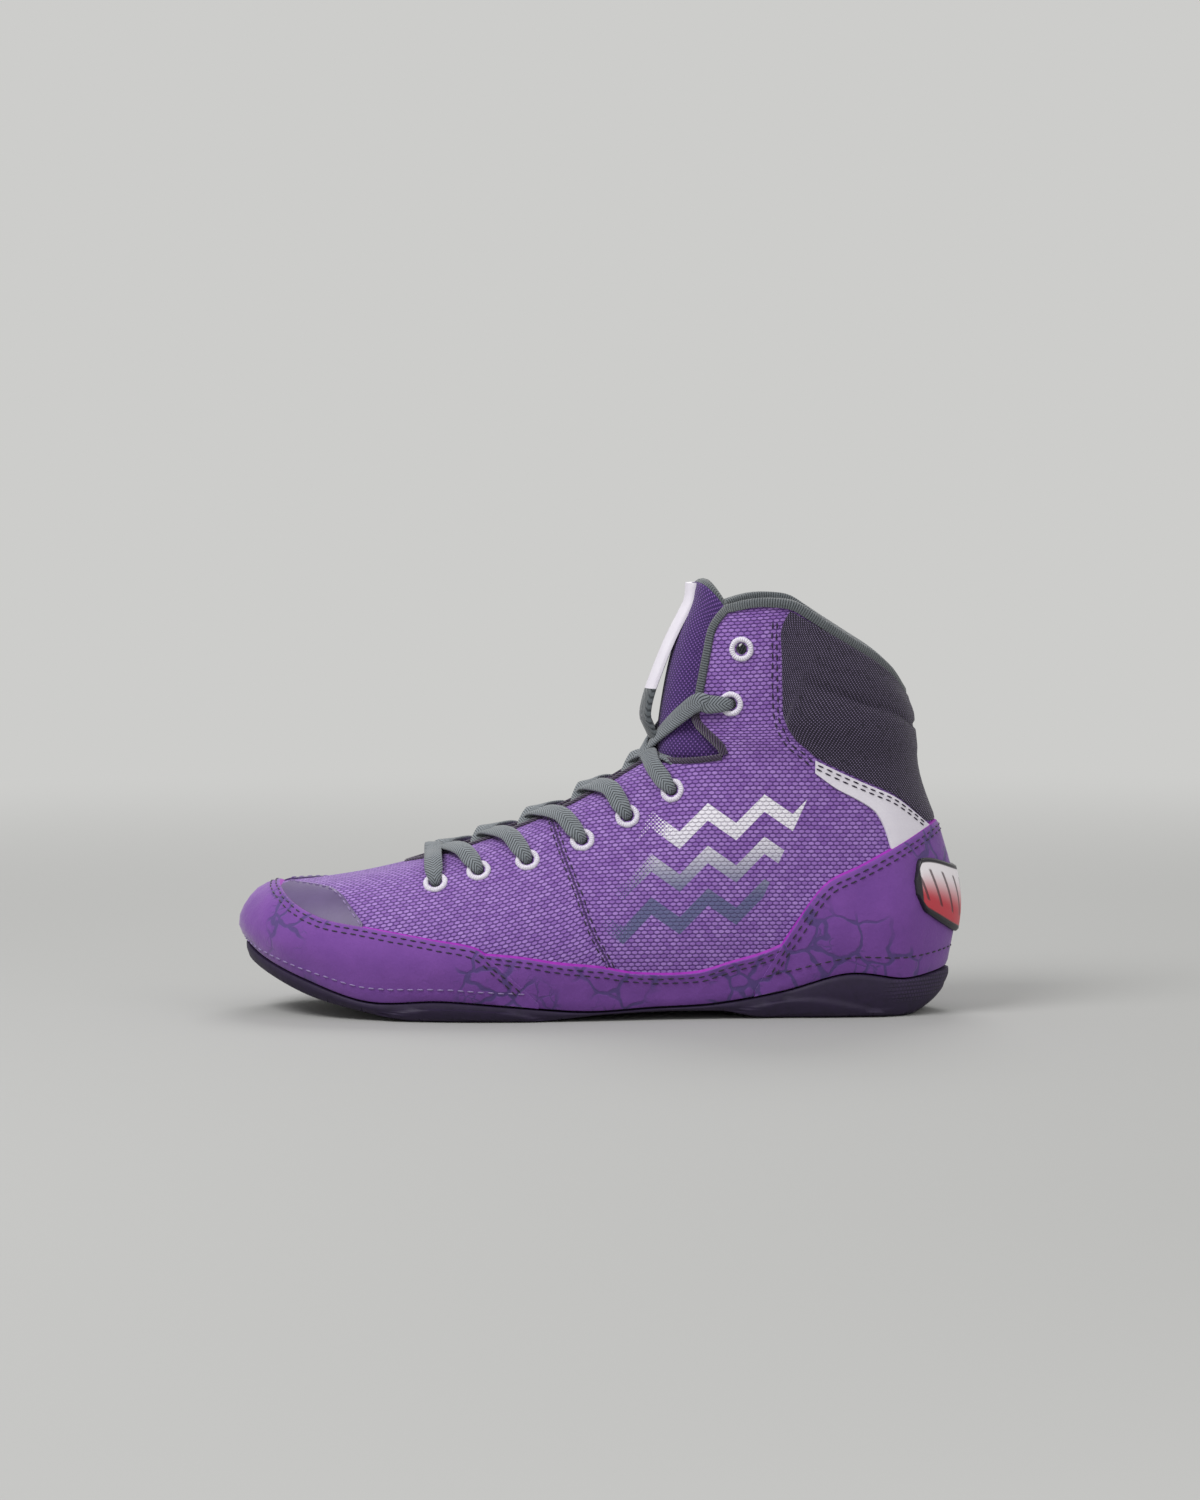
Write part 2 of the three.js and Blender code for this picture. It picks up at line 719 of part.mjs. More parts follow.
// The face curves away under a flat ring, so the ring is lifted by what the curve would take
function seatLift(eyelet) {
  const normal = normalAt(eyelet.station, eyelet.up);
  const middle = surface(eyelet.station, eyelet.up);
  let highest = 0;
  for (let i = 0; i < 12; i += 1) {
    const angle = i / 12 * 2 * Math.PI;
    const p = surface(eyelet.station + Math.cos(angle) * 0.19, eyelet.up + Math.sin(angle) * 0.055);
    highest = Math.max(highest, p.sub(middle).dot(normal));
  }
  return highest;
}

// Sole: a rubber cup with a heel pod and a forefoot pod
function solePlan(station, offset) {
  return outline(station).addScaledVector(outward(station), offset - featherTuck).setZ(0);
}

function spinePlan(station) {
  const x = clamp(outline(station).x, heelWidth * 0.42, shoeLength - ballWidth * 0.34);
  const toeLean = stations[0].outer * ballWidth;
  return new THREE.Vector3(x, toeLean * smoothstep(x / shoeLength, 0.6, 0.9), 0);
}

function soleUnder(x) {
  return Math.max(0, follow(soleProfile, 'along', x / shoeLength, 'high') * instepHeight);
}

function soleTray(x) {
  return soleUnder(x) + soleFloor;
}

function makeSole() {
  const lip = suedeThickness + soleLip;
  const points = [];
  const faces = [];
  const quad = (a, b, c, d) => faces.push([a, b, c], [a, c, d]);
  const rings = [];
  const ring = (place) => rings.push(columnsAround.map((station) => {
    points.push(place(station));
    return points.length - 1;
  }));
  const inset = (station) => {
    const along = outline(station).x / shoeLength;
    return follow(soleProfile, 'along', along, 'inset') * ballWidth;
  };
  const edgeZ = (station) => featherHeight(station) - clearance - suedeThickness / 2;
  const podZ = (station) => soleUnder(outline(station).x);
  const inTo = (station, offset, share) => solePlan(station, offset).lerp(spinePlan(station), share);
  ring((k) => { const p = inTo(k, 0, 1); return p.setZ(soleTray(p.x)); });
  ring((k) => { const p = inTo(k, -soleEdge, 0.5); return p.setZ(soleTray(p.x)); });
  ring((k) => {
    const p = solePlan(k, -soleEdge);
    return p.setZ(Math.min(soleTray(p.x), edgeZ(k) + soleFloor));
  });
  ring((k) => solePlan(k, -soleEdge * 0.7).setZ(edgeZ(k)));
  ring((k) => solePlan(k, lip * 0.7).setZ(edgeZ(k)));
  ring((k) => solePlan(k, lip).setZ(lerp(edgeZ(k), podZ(k), 0.3)));
  ring((k) => solePlan(k, lip - inset(k) * 0.35).setZ(lerp(edgeZ(k), podZ(k), 0.75)));
  ring((k) => { const p = solePlan(k, -inset(k)); return p.setZ(soleUnder(p.x)); });
  ring((k) => { const p = inTo(k, 0, 1); return p.setZ(soleUnder(p.x)); });
  const count = columnsAround.length;
  for (let r = 0; r < rings.length - 1; r += 1) {
    for (let i = 0; i < count; i += 1) {
      const n = (i + 1) % count;
      quad(rings[r][i], rings[r][n], rings[r + 1][n], rings[r + 1][i]);
    }
  }
  return solidFrom(points, faces);
}

function makeInsole() {
  const points = [];
  const faces = [];
  const quad = (a, b, c, d) => faces.push([a, b, c], [a, c, d]);
  const rings = [];
  for (const [share, lift] of [[1, insoleThickness], [0, insoleThickness], [0, 0], [1, 0]]) {
    rings.push(columnsAround.map((station) => {
      const p = solePlan(station, -insoleInset).lerp(spinePlan(station), share);
      points.push(p.setZ(soleTray(p.x) + insoleLift + lift));
      return points.length - 1;
    }));
  }
  const count = columnsAround.length;
  for (let r = 0; r < rings.length - 1; r += 1) {
    for (let i = 0; i < count; i += 1) {
      const n = (i + 1) % count;
      quad(rings[r][i], rings[r][n], rings[r + 1][n], rings[r + 1][i]);
    }
  }
  return solidFrom(points, faces);
}

// Suede rands and counter: from the feather up to their cut edges
const mirrorPlace = (place) => ({ station: round - place.station, up: place.up });

// Band from the feather to a cut edge, on the upper's own columns.
// With wider it is the larger form that its neighbours leave free.
const bandRows = [0, 0.15, 0.33, 0.62, 1];
const toeRows = [0, 0.15, 0.33, 0.58, 0.8, 1];
const seamRows = [0, 1];
const roomThickness = 8;
const seamUp = 0.012;
const seamStation = 0.06;

function featherBand(from, to, edge, rows, thickness, wider) {
  const ends = wider ? [from - seamStation, to + seamStation] : [from, to];
  const stationsBetween = [];
  for (let i = Math.ceil(from * stepsPerStation); i <= to * stepsPerStation; i += 1) {
    stationsBetween.push(i / stepsPerStation);
  }
  const line = [ends[0], ...stationsBetween, ends[1]];
  const at = (share) => line[Math.round(share * (line.length - 1))];
  const lower = (share) => ({ station: at(share), up: 0 });
  const upper = (share) => ({ station: at(share), up: cutUp(at(share), edge) + (wider ? seamUp : 0) });
  return overlaySlab(line.length - 1, rows, lower, upper, thickness);
}

// Last station whose section still reaches a band's least height
function reachStation(edge, inward, outwards, least) {
  let a = inward;
  let b = outwards;
  for (let i = 0; i < 24; i += 1) {
    const middle = (a + b) / 2;
    if (cutUp(middle, edge) > least) a = middle;
    else b = middle;
  }
  return a;
}

const leastUp = 0.02;
const toeRandEnd = reachStation(toeRandEdge, 3, 7, leastUp);
const counterStart = reachStation(counterEdge, 11, 7, leastUp);

function toeRand(thickness, wider) {
  return featherBand(-toeRandEnd, toeRandEnd, toeRandEdge, toeRows, thickness, wider);
}

function counter(thickness, wider) {
  return featherBand(counterStart, round - counterStart, counterEdge, bandRows, thickness, wider);
}

const toeRandRoom = toManifold(toeRand(roomThickness, true));
const counterRoom = toManifold(counter(roomThickness, true));

// A region on one side: from and to are stations, lower and upper give up for a station
function sideRegion(side, from, to, lower, upper, columns, rowShares, thickness) {
  const edge = (height) => (share) => {
    const station = lerp(from, to, share);
    const place = { station, up: height(station) };
    return side > 0 ? place : mirrorPlace(place);
  };
  return overlaySlab(columns, rowShares, edge(lower), edge(upper), thickness);
}

// The side rand fills what the toe rand and the counter leave between them
const sideRandFrom = meetingStation(sideRandEdge, toeRandEdge, 4, toeRandEnd);
const sideRandTo = meetingStation(sideRandEdge, counterEdge, counterStart - 0.2, 9.6);

function makeSideRand(side) {
  const upper = (station) => cutUp(station, sideRandEdge);
  const from = sideRandFrom - 0.1;
  const to = sideRandTo + 0.1;
  const region = sideRegion(side, from, to, () => 0, upper, 10, [0, 0.5, 1], suedeThickness);
  const below = [toeRandRoom, counterRoom].map((room) => room.translate([0, 0, -2 * clearance]));
  return seated(region, toeRandRoom, counterRoom, ...below);
}

function makeToePatch(side) {
  const from = meetingStation(patchEdge, toeRandEdge, 1.9, 2.95);
  const lower = (station) => cutUp(station, toeRandEdge) - 0.03;
  const upper = (station) => clamp(cutUp(station, patchEdge), lower(station) + 0.02, 0.93);
  const region = sideRegion(side, from, 1.05, lower, upper, 8, [0, 0.35, 0.7, 1], patchThickness);
  return seated(region, toeRandRoom);
}

function makeHeelStripe(side) {
  const from = placeOn(stripeTop[stripeTop.length - 1], 1).station;
  const to = meetingStation(stripeTop, counterEdge, 10.2, 11.95);
  const lower = (station) => Math.max(cutUp(station, stripeBottom), cutUp(station, counterEdge) - 0.03);
  const upper = (station) => Math.max(cutUp(station, stripeTop), lower(station) + 0.004);
  return seated(sideRegion(side, from, to, lower, upper, 12, seamRows, stripeThickness), counterRoom);
}

// Padded cuff: its lower edge follows the flap, the stripe and the counter, its upper edge the collar
function makeCuff() {
  const front = cuffFront.map((spot) => placeOn(spot, 1));
  const stripeStart = front[front.length - 1].station;
  const path = [...front];
  const backSteps = 7;
  for (let i = 1; i <= backSteps; i += 1) {
    const station = lerp(stripeStart, heelStation, i / backSteps);
    const above = Math.max(cutUp(station, stripeTop), cutUp(station, counterEdge));
    path.push({ station, up: above + seamUp * 1.5 });
  }
  const half = path.length - 1;
  const read = (share, list) => {
    const mirrored = share > 0.5;
    const place = (mirrored ? 1 - share : share) * 2 * half;
    const i = Math.min(Math.floor(place), half - 1);
    const spot = {
      station: lerp(list[i].station, list[i + 1].station, place - i),
      up: lerp(list[i].up, list[i + 1].up, place - i),
    };
    return mirrored ? mirrorPlace(spot) : spot;
  };
  const corner = path[0];
  corner.up = 1.8;
  const top = path.map((spot, i) => {
    const station = lerp(corner.station, heelStation, Math.pow(i / half, 0.9));
    const legHigh = follow(collarLine, 'round', roundOf(station), 'high') * (shaftHeight - instepHeight);
    return { station, up: 2 - (bindingWidth + 3 * clearance) / legHigh };
  });
  const pad = (share, height) => {
    const fromFront = Math.min(share, 1 - share) * 2;
    const ends = smoothstep(fromFront, 0, 0.2);
    const low = smoothstep(height, 0, 0.35);
    const high = 1 - 0.45 * smoothstep(height, 0.75, 1);
    return lerp(0.9, cuffThickness, ends * low) * lerp(1, high, ends);
  };
  const rows = [0, 0.25, 0.75, 1];
  const lower = (share) => read(share, path);
  const upper = (share) => read(share, top);
  const slabOnLeg = overlaySlab(2 * half, rows, lower, upper, pad);
  return seated(slabOnLeg, counterRoom, toManifold(collarBinding(clearance)));
}

// Trim that is folded over a cut edge of the upper. places gives station and up along the edge
function foldedTrim(places, width, thickness, innerWidth, grow = 0) {
  const last = places.length - 1;
  const frames = places.map((place, i) => {
    const before = places[Math.max(i - 1, 0)];
    const after = places[Math.min(i + 1, last)];
    const going = surface(after.station, after.up).sub(surface(before.station, before.up));
    const normal = normalAt(place.station, place.up);
    const off = normal.clone().cross(going).normalize();
    return { normal, off, point: surface(place.station, place.up), wall: wallAt(place.station, place.up) };
  });
  const corner = (i, j, layer) => {
    const { point, normal, off, wall } = frames[i];
    const thick = layer * (thickness + grow);
    const profile = [
      [-width - grow, clearance + thick],
      [clearance + thick, clearance + thick],
      [clearance + thick, -wall - clearance - thick],
      [-innerWidth - grow, -wall - clearance - thick],
    ];
    return point.clone().addScaledVector(off, profile[j][0]).addScaledVector(normal, profile[j][1]);
  };
  return seated(slab(last, 3, (i, j) => corner(i, j, 1), (i, j) => corner(i, j, 0)));
}

// Along the collar from one notch to the other, at the upper's own corners
const collarPlaces = [
  ...legRows.map((share) => ({ station: notchStation, up: 1 + share })),
  ...columnsAround.filter((station) => fold(station) > notchStation + 0.1)
    .map((station) => ({ station, up: 2 })),
  ...legRows.map((share) => ({ station: round - notchStation, up: 1 + share })).reverse(),
];

// Along the throat from the outer notch forward, round its start, and back to the inner notch
const throatStations = columnsAround
  .filter((k) => k < notchStation - 0.1 && k > throatStart - 0.1)
  .reverse();
const throatPlaces = [...throatStations, ...throatStations.slice(0, -1).reverse().map((k) => round - k)]
  .map((station) => ({ station, up: rimUp(station) }));

// Tongue: lies under the throat's edges, then stands in the leg. across runs from -1 (inner) to 1 (outer)
const tongueRows = [
  ...[3.45, 3.8, 4.2, 4.7, 5.2, 5.7, 6.2, 6.6, 7].map((station) => ({ station, turn: 0 })),
  ...[0.35, 0.7].map((turn) => ({ station: ridgeEnd, turn })),
  ...[0, 0.1, 0.2, 0.32, 0.46, 0.6, 0.74, 0.88, 1, tongueTop].map((high) => ({ high })),
];

function tongueSpot(row, across) {
  const side = across < 0 ? -1 : 1;
  const share = Math.abs(across);
  const depth = upperWall + bindingThickness + 3 * clearance;
  if (row.high !== undefined) {
    const reach = tongueHidden / (ankleWidth / 2);
    const corner = clamp((row.high - tongueRoundFrom) / (tongueTop - tongueRoundFrom), 0, 1);
    const high = row.high - tongueRound * corner * smoothstep(share, 0.3, 0.9);
    const angle = lerp(Math.PI, flapAngle(Math.min(high, 1)) - reach, share);
    const a = legPoint(angle, high, side);
    const legMiddle = new THREE.Vector3(0.25 * shoeLength, 0, 0);
    const out = a.clone().sub(legMiddle).setZ(0).normalize();
    const sink = depth * smoothstep(share, 0.35, 0.72) + 0.5;
    return a.addScaledVector(out, -sink);
  }
  const station = row.station + row.turn * share * 1.3;
  const cut = rimUp(row.station);
  const lowest = cut - tongueHidden / instepHeight * 1.3;
  const up = lerp(lerp(1, lowest, share), 1, row.turn);
  const open = smoothstep(row.station, throatStart, throatStart + 0.8);
  const shallow = lerp(depth, 1.5, open);
  const sink = lerp(shallow, depth, smoothstep(share, 0.1, lerp(0.4, 0.72, row.turn)));
  return offsetPoint(side > 0 ? station : -station, up, -sink);
}

function makeTongue(grow = 0) {
  const rows = tongueRows.length - 1;
  const grid = tongueRows.map((row) => {
    const line = [];
    for (let j = 0; j <= tongueColumns; j += 1) line.push(tongueSpot(row, j / tongueColumns * 2 - 1));
    return line;
  });
  const outOf = (i, j) => {
    const along = grid[Math.min(i + 1, rows)][j].clone().sub(grid[Math.max(i - 1, 0)][j]);
    const over = grid[i][Math.min(j + 1, tongueColumns)].clone().sub(grid[i][Math.max(j - 1, 0)]);
    const out = over.cross(along).normalize();
    const aim = i < 9 ? new THREE.Vector3(0, 0, 1) : new THREE.Vector3(1, 0, 0);
    return out.dot(aim) < 0 ? out.negate() : out;
  };
  const inner = (i, j) => {
    const edge = Math.abs(j / tongueColumns * 2 - 1);
    const full = lerp(0.55, 1, clamp(i / 12, 0, 1)) * tongueThickness;
    return grid[i][j].clone().addScaledVector(outOf(i, j), -full * lerp(1, 0.35, edge * edge));
  };
  const outer = (i, j) => grid[i][j].clone().addScaledVector(outOf(i, j), grow);
  return slab(rows, tongueColumns, outer, inner);
}

// Keeper strip on the tongue: sewn down at the top, standing off lower down, tucked under the lace.
// high: share of the leg's height; off: millimetres in front of the tongue, as a share of keeperStand
const keeperStand = 5;
const keeperLine = [
  { high: 0.20, off: 0.30 },
  { high: 0.24, off: 0.80 },
  { high: 0.28, off: 1 },
  { high: 0.40, off: 0.9 },
  { high: 0.54, off: 0.6 },
  { high: 0.70, off: 0.3 },
  { high: 0.88, off: 0.12 },
  { high: 1.10, off: 0 },
];

function makeKeeper() {
  const steps = 12;
  const spot = (i, layer, across) => {
    const high = lerp(keeperLine[0].high, keeperLine[keeperLine.length - 1].high, i / steps);
    const off = follow(keeperLine, 'high', high, 'off') * keeperStand + clearance + layer * keeperThickness;
    const front = legPoint(Math.PI, high, 1).x - 0.5;
    const z = legPoint(Math.PI, high, 1).z;
    return new THREE.Vector3(front + off, (across - 0.5) * keeperWidth, z);
  };
  return slab(steps, 1, (i, j) => spot(i, 1, j), (i, j) => spot(i, 0, j));
}

function collarBinding(grow) {
  return foldedTrim(collarPlaces, bindingWidth, bindingThickness, bindingWidth * 1.6, grow);
}

function throatPiping() {
  return foldedTrim(throatPlaces, pipingWidth, pipingThickness, pipingWidth);
}

// Lace bands lie over the throat's edges and stop short of the eyelet holes
const laceLift = 3 * clearance + eyeletHeight + laceThickness / 2;
const laceLean = 0.6;
const laceArch = 0.6;

function flatBand(controls, grow = 0) {
  const curve = new THREE.CatmullRomCurve3(controls.map((c) => c.point), false, 'centripetal');
  const steps = (controls.length - 1) * 2;
  const normals = controls.map((c) => c.normal);
  const at = (i) => {
    const share = i / steps;
    const place = share * (normals.length - 1);
    const n = Math.min(Math.floor(place), normals.length - 2);
    const normal = normals[n].clone().lerp(normals[n + 1], place - n).normalize();
    const point = curve.getPoint(share);
    const over = curve.getTangent(share).cross(normal).normalize();
    return { point, normal, over };
  };
  const corner = (i, j, layer) => {
    const { point, normal, over } = at(i);
    return point.clone().addScaledVector(over, (j - 0.5) * (laceWidth + 2 * grow))
      .addScaledVector(normal, (layer - 0.5) * (laceThickness + 2 * grow));
  };
  return slab(steps, 1, (i, j) => corner(i, j, 1), (i, j) => corner(i, j, 0));
}

// Where a band comes over the throat's edge into its eyelet, and where the next one leaves from under it.
// A band into an eyelet of the vamp leans forward by laceLean of the way to the eyelet before it.
function laceFrame(index, side) {
  const eyelet = eyelets.find((e) => e.side === side && e.name.endsWith(`_${index}`));
  const before = eyelets.find((e) => e.side === side && e.name.endsWith(`_${index - 1}`));
  const here = fold(eyelet.station);
  const onFlap = here > notchStation;
  const own = onFlap ? notchStation : here;
  const lean = onFlap || !before ? 0 : laceLean;
  const ahead = lerp(here, before ? fold(before.station) : here, lean);
  const over = onFlap ? { station: notchStation, up: eyelet.up } : { station: ahead, up: rimUp(ahead) };
  const onSide = (station) => (side > 0 ? station : round - station);
  const edge = offsetPoint(onSide(over.station), over.up, laceLift);
  const normal = normalAt(onSide(over.station), over.up);
  const half = { station: lerp(over.station, here, 0.5), up: lerp(over.up, eyelet.up, 0.5) };
  const middle = offsetPoint(onSide(half.station), half.up, laceLift + (onFlap ? 0 : laceArch));
  const middleNormal = normalAt(onSide(half.station), half.up);
  const hole = offsetPoint(eyelet.station, eyelet.up, laceLift);
  const holeNormal = normalAt(eyelet.station, eyelet.up);
  const apart = hole.distanceTo(middle);
  const start = hole.clone().lerp(middle, (eyeletOuter / 2 + 2 * clearance) / apart);
  const gapUp = lerp(1, onFlap ? eyelet.up : rimUp(own), 0.5);
  const gap = offsetPoint(onSide(own), gapUp, -0.2);
  return { edge, normal, middle, middleNormal, start, holeNormal, gap };
}

const upwards = new THREE.Vector3(0, 0, 1);

// Points of a band from the throat's edge down to its eyelet
function intoEyelet(frame) {
  const points = [{ point: frame.edge, normal: frame.normal }];
  if (frame.start.distanceTo(frame.middle) > laceWidth / 4) {
    points.push({ point: frame.middle, normal: frame.middleNormal });
  }
  points.push({ point: frame.start, normal: frame.holeNormal });
  return points;
}

function throatMiddle(a, b) {
  return a.clone().add(b).multiplyScalar(0.5).addScaledVector(upwards, laceThickness * 0.5);
}

function laceBar(grow) {
  const outer = laceFrame(1, 1);
  const inner = laceFrame(1, -1);
  return toManifold(flatBand([
    ...intoEyelet(outer).reverse(),
    { point: throatMiddle(outer.edge, inner.edge), normal: upwards },
    ...intoEyelet(inner),
  ], grow));
}

function crossingBand(index, side, lift, grow) {
  const low = laceFrame(index, -side);
  const high = laceFrame(index + 1, side);
  const last = index === eyeletPlaces.length - 2;
  const inFront = new THREE.Vector3(laceThickness / 2 + 5 * clearance + lift, 0, 0);
  const middle = last
    ? legPoint(Math.PI, 0.03, 1).add(inFront)
    : throatMiddle(low.gap, high.edge).addScaledVector(upwards, lift);
  const facing = last ? new THREE.Vector3(1, 0, 0.6).normalize() : upwards;
  const from = last ? low.gap.clone().lerp(middle, 0.35).addScaledVector(upwards, laceThickness) : low.gap;
  return toManifold(flatBand([
    { point: from, normal: upwards },
    { point: middle, normal: facing },
    ...intoEyelet(high),
  ], grow));
}

function laceCrossing(index, grow) {
  return crossingBand(index, 1, 0, grow).add(crossingBand(index, -1, laceThickness * 0.6, grow));
}

// Each crossing keeps clear of what it passes over, and of the crossing before it
function makeLaces() {
  const piping = toManifold(throatPiping());
  const gap = clearance * 1.5;
  const around = [toManifold(makeTongue(clearance)), toManifold(collarBinding(clearance)), piping];
  for (const move of [[gap, 0, 0], [0, 0, gap], [0, gap, 0], [0, -gap, 0]]) {
    around.push(piping.translate(move));
  }
  for (const move of [[gap, 0, 0], [0, 0, gap]]) around.push(upperRoom.translate(move));
  const laces = [seated(fromManifold(laceBar(0)), ...around)];
  let before = laceBar(clearance);
  for (let index = 1; index < eyeletPlaces.length - 1; index += 1) {
    laces.push(seated(fromManifold(laceCrossing(index, 0)), ...around, before));
    before = laceCrossing(index, clearance);
  }
  return laces;
}

// Rubber badge wrapped round the back of the counter
const badgeFrom = 11.05;
const badgeShape = [
  { share: 0, low: 0.47, high: 0.52 },
  { share: 0.08, low: 0.40, high: 0.60 },
  { share: 0.5, low: 0.31, high: 0.56 },
  { share: 0.92, low: 0.40, high: 0.60 },
  { share: 1, low: 0.47, high: 0.52 },
];

function makeBadge() {
  const edge = (column) => (share) => {
    const station = lerp(badgeFrom, round - badgeFrom, share);
    const level = [{ along: 0, high: follow(badgeShape, 'share', share, column) },
      { along: 1, high: follow(badgeShape, 'share', share, column) }];
    return { station, up: cutUp(station, level) };
  };
  const lift = 2 * clearance + suedeThickness;
  const ground = toManifold(counter(suedeThickness + clearance));
  const plate = overlaySlab(12, [0, 0.33, 0.67, 1], edge('low'), edge('high'), badgeThickness, lift);
  return seated(plate, ground);
}

const shoe = new THREE.Group();
shoe.position.x = -heelRest;

function add(name, geometry, material) {
  const mesh = new THREE.Mesh(geometry, material);
  mesh.name = name;
  shoe.add(mesh);
}

add('upper', fromManifold(upperSolid.simplify(sliver)), purpleWeave);
add('sole', makeSole(), soleRubber);
add('insole', makeInsole(), foam);

add('tongue', makeTongue(), tongueMesh);
add('tongue_strip', makeKeeper(), whiteFilm);
add('toe_rand', seated(toeRand(suedeThickness)), purpleSuede);
add('heel_counter', seated(counter(suedeThickness)), purpleSuede);
for (const [name, side] of [['outer', 1], ['inner', -1]]) {
  add(`side_rand_${name}`, makeSideRand(side), purpleSuede);
  add(`toe_patch_${name}`, makeToePatch(side), patchFilm);
  add(`heel_stripe_${name}`, makeHeelStripe(side), whiteFilm);
}
add('collar_cuff', makeCuff(), darkMesh);
add('collar_binding', collarBinding(0), greyKnit);
add('throat_piping', throatPiping(), darkMesh);
add('heel_badge', makeBadge(), badgeRubber);
for (const eyelet of eyelets) add(eyelet.name, makeEyelet(eyelet), whiteThread);
makeLaces().forEach((lace, i) => add(i === 0 ? 'lace_bar' : `lace_crossing_${i}`, lace, greyKnit));

export default shoe;
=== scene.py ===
"""Left high-top wrestling shoe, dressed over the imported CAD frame.

Shapes are worked out in millimetres in the last's own frame (heel back at x 0, toe at +X,
outer side at +Y) and turned to metres in the row frame when a mesh is made.
"""
import math
from functools import lru_cache

import bmesh
import bpy
import numpy as np
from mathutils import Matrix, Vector
from mathutils.bvhtree import BVHTree

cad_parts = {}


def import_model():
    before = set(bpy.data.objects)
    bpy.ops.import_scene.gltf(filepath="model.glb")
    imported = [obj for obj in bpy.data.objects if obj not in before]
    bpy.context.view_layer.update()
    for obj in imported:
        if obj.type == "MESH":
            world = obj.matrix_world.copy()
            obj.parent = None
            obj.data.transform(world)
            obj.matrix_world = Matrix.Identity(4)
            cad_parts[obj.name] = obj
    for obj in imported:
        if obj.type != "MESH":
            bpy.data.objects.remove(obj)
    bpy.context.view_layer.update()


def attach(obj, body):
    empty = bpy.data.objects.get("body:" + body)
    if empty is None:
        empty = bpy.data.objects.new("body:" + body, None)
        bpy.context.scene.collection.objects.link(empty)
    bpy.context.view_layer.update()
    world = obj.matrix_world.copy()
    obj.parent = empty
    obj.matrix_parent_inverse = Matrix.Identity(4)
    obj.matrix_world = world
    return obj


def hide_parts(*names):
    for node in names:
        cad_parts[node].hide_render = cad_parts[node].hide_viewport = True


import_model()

# Driving sizes, as in the CAD source, in millimetres
SHOE_LENGTH = 285.0
BALL_WIDTH = 94.0
HEEL_WIDTH = 64.0
INSTEP_HEIGHT = 102.0
SHAFT_HEIGHT = 163.0
ANKLE_WIDTH = 64.0
HEEL_REST = 44.0
UPPER_WALL = 2.0
COLLAR_WALL = 4.5
SUEDE = 1.5
FEATHER_TUCK = 3.5
SOLE_LIP = 0.8
SOLE_EDGE = 3.4
SOLE_FLOOR = 3.6
INSOLE_THICKNESS = 3.0
INSOLE_INSET = 5.0
INSOLE_LIFT = 0.8
TONGUE_THICKNESS = 6.5
TONGUE_HIDDEN = 9.0
TONGUE_TOP = 1.13
TONGUE_ROUND = 0.25
TONGUE_ROUND_FROM = 0.7
CUFF_THICKNESS = 3.4
EYELET_OUTER = 9.7
EYELET_INNER = 5.4
EYELET_HOLE = 4.4
LACE_WIDTH = 7.2
LACE_THICKNESS = 1.7
KEEPER_WIDTH = 17.0
KEEPER_THICKNESS = 2.4
KEEPER_STAND = 5.0
KEEPER_BOW = 2.6


def table(names, rows):
    """Rows of a table as dicts with named columns."""
    keys = names.split()
    return [dict(zip(keys, row)) for row in rows]


# Stations from the toe tip (0) along one side to the back of the heel (12), as in the CAD source
STATIONS = table("along outer inner heel feather widest inward rise ridge top", [
    [0.992, -0.06, 0.06, 0, 0.275, 0.325, 0.30, 0.74, 0.919, 0.495],
    [0.966, 0.150, 0.280, 0, 0.225, 0.310, 0.28, 0.75, 0.909, 0.500],
    [0.905, 0.320, 0.410, 0, 0.155, 0.270, 0.28, 0.76, 0.874, 0.512],
    [0.814, 0.440, 0.475, 0, 0.078, 0.230, 0.33, 0.78, 0.804, 0.548],
    [0.712, 0.500, 0.489, 0, 0.085, 0.220, 0.42, 0.80, 0.719, 0.612],
    [0.611, 0.500, 0.450, 0, 0.064, 0.215, 0.48, 0.82, 0.625, 0.705],
    [0.512, 0.462, 0.390, 0, 0.042, 0.220, 0.50, 0.82, 0.530, 0.825],
    [0.421, 0.460, 0.387, 0.33, 0.053, 0.240, 0.50, 0.80, 0.421, 1],
    [0.337, 0.486, 0.425, 0.67, 0.065, 0.265, 0.50, 0.62, 0.421, 1],
    [0.246, 0.516, 0.490, 1, 0.108, 0.310, 0.52, 0.55, 0.421, 1],
    [0.154, 0.500, 0.495, 1, 0.176, 0.345, 0.50, 0.52, 0.421, 1],
    [0.068, 0.400, 0.405, 1, 0.152, 0.370, 0.50, 0.50, 0.421, 1],
    [0.0055, 0, 0, 1, 0.180, 0.385, 0.34, 0.50, 0.421, 1],
])
HEEL = len(STATIONS) - 1
ROUND = 2 * HEEL
RIDGE_END = 7
NOTCH = 8
THROAT_START = 3.5

# The leg's sections are ovals, a little squarer than an ellipse
LEG_ROUND = 0.9
LEG_LEVELS = table("high back front wide", [
    [0, 0.066, 0.421, 0.490], [0.35, 0.074, 0.411, 0.500], [0.70, 0.083, 0.395, 0.515],
    [1, 0.092, 0.368, 0.530],
])
FLAP_EDGE = table("high along", [
    [0, 0.326], [0.06, 0.331], [0.14, 0.349], [0.23, 0.365], [0.39, 0.361], [0.67, 0.350],
    [0.82, 0.343], [0.90, 0.333], [1, 0.314],
])
COLLAR_LINE = table("round high", [
    [0, 0.40], [0.1, 0.45], [0.2, 0.555], [0.3, 0.65], [0.4, 0.735], [0.5, 0.83], [0.6, 0.915],
    [0.7, 0.98], [0.8, 1], [0.9, 0.995], [1, 0.955],
])
THROAT_CUT = table("station up", [
    [3.5, 1], [4, 0.90], [4.5, 0.885], [5, 0.875], [6, 0.87], [7, 0.88], [7.5, 0.935], [8, 1],
])
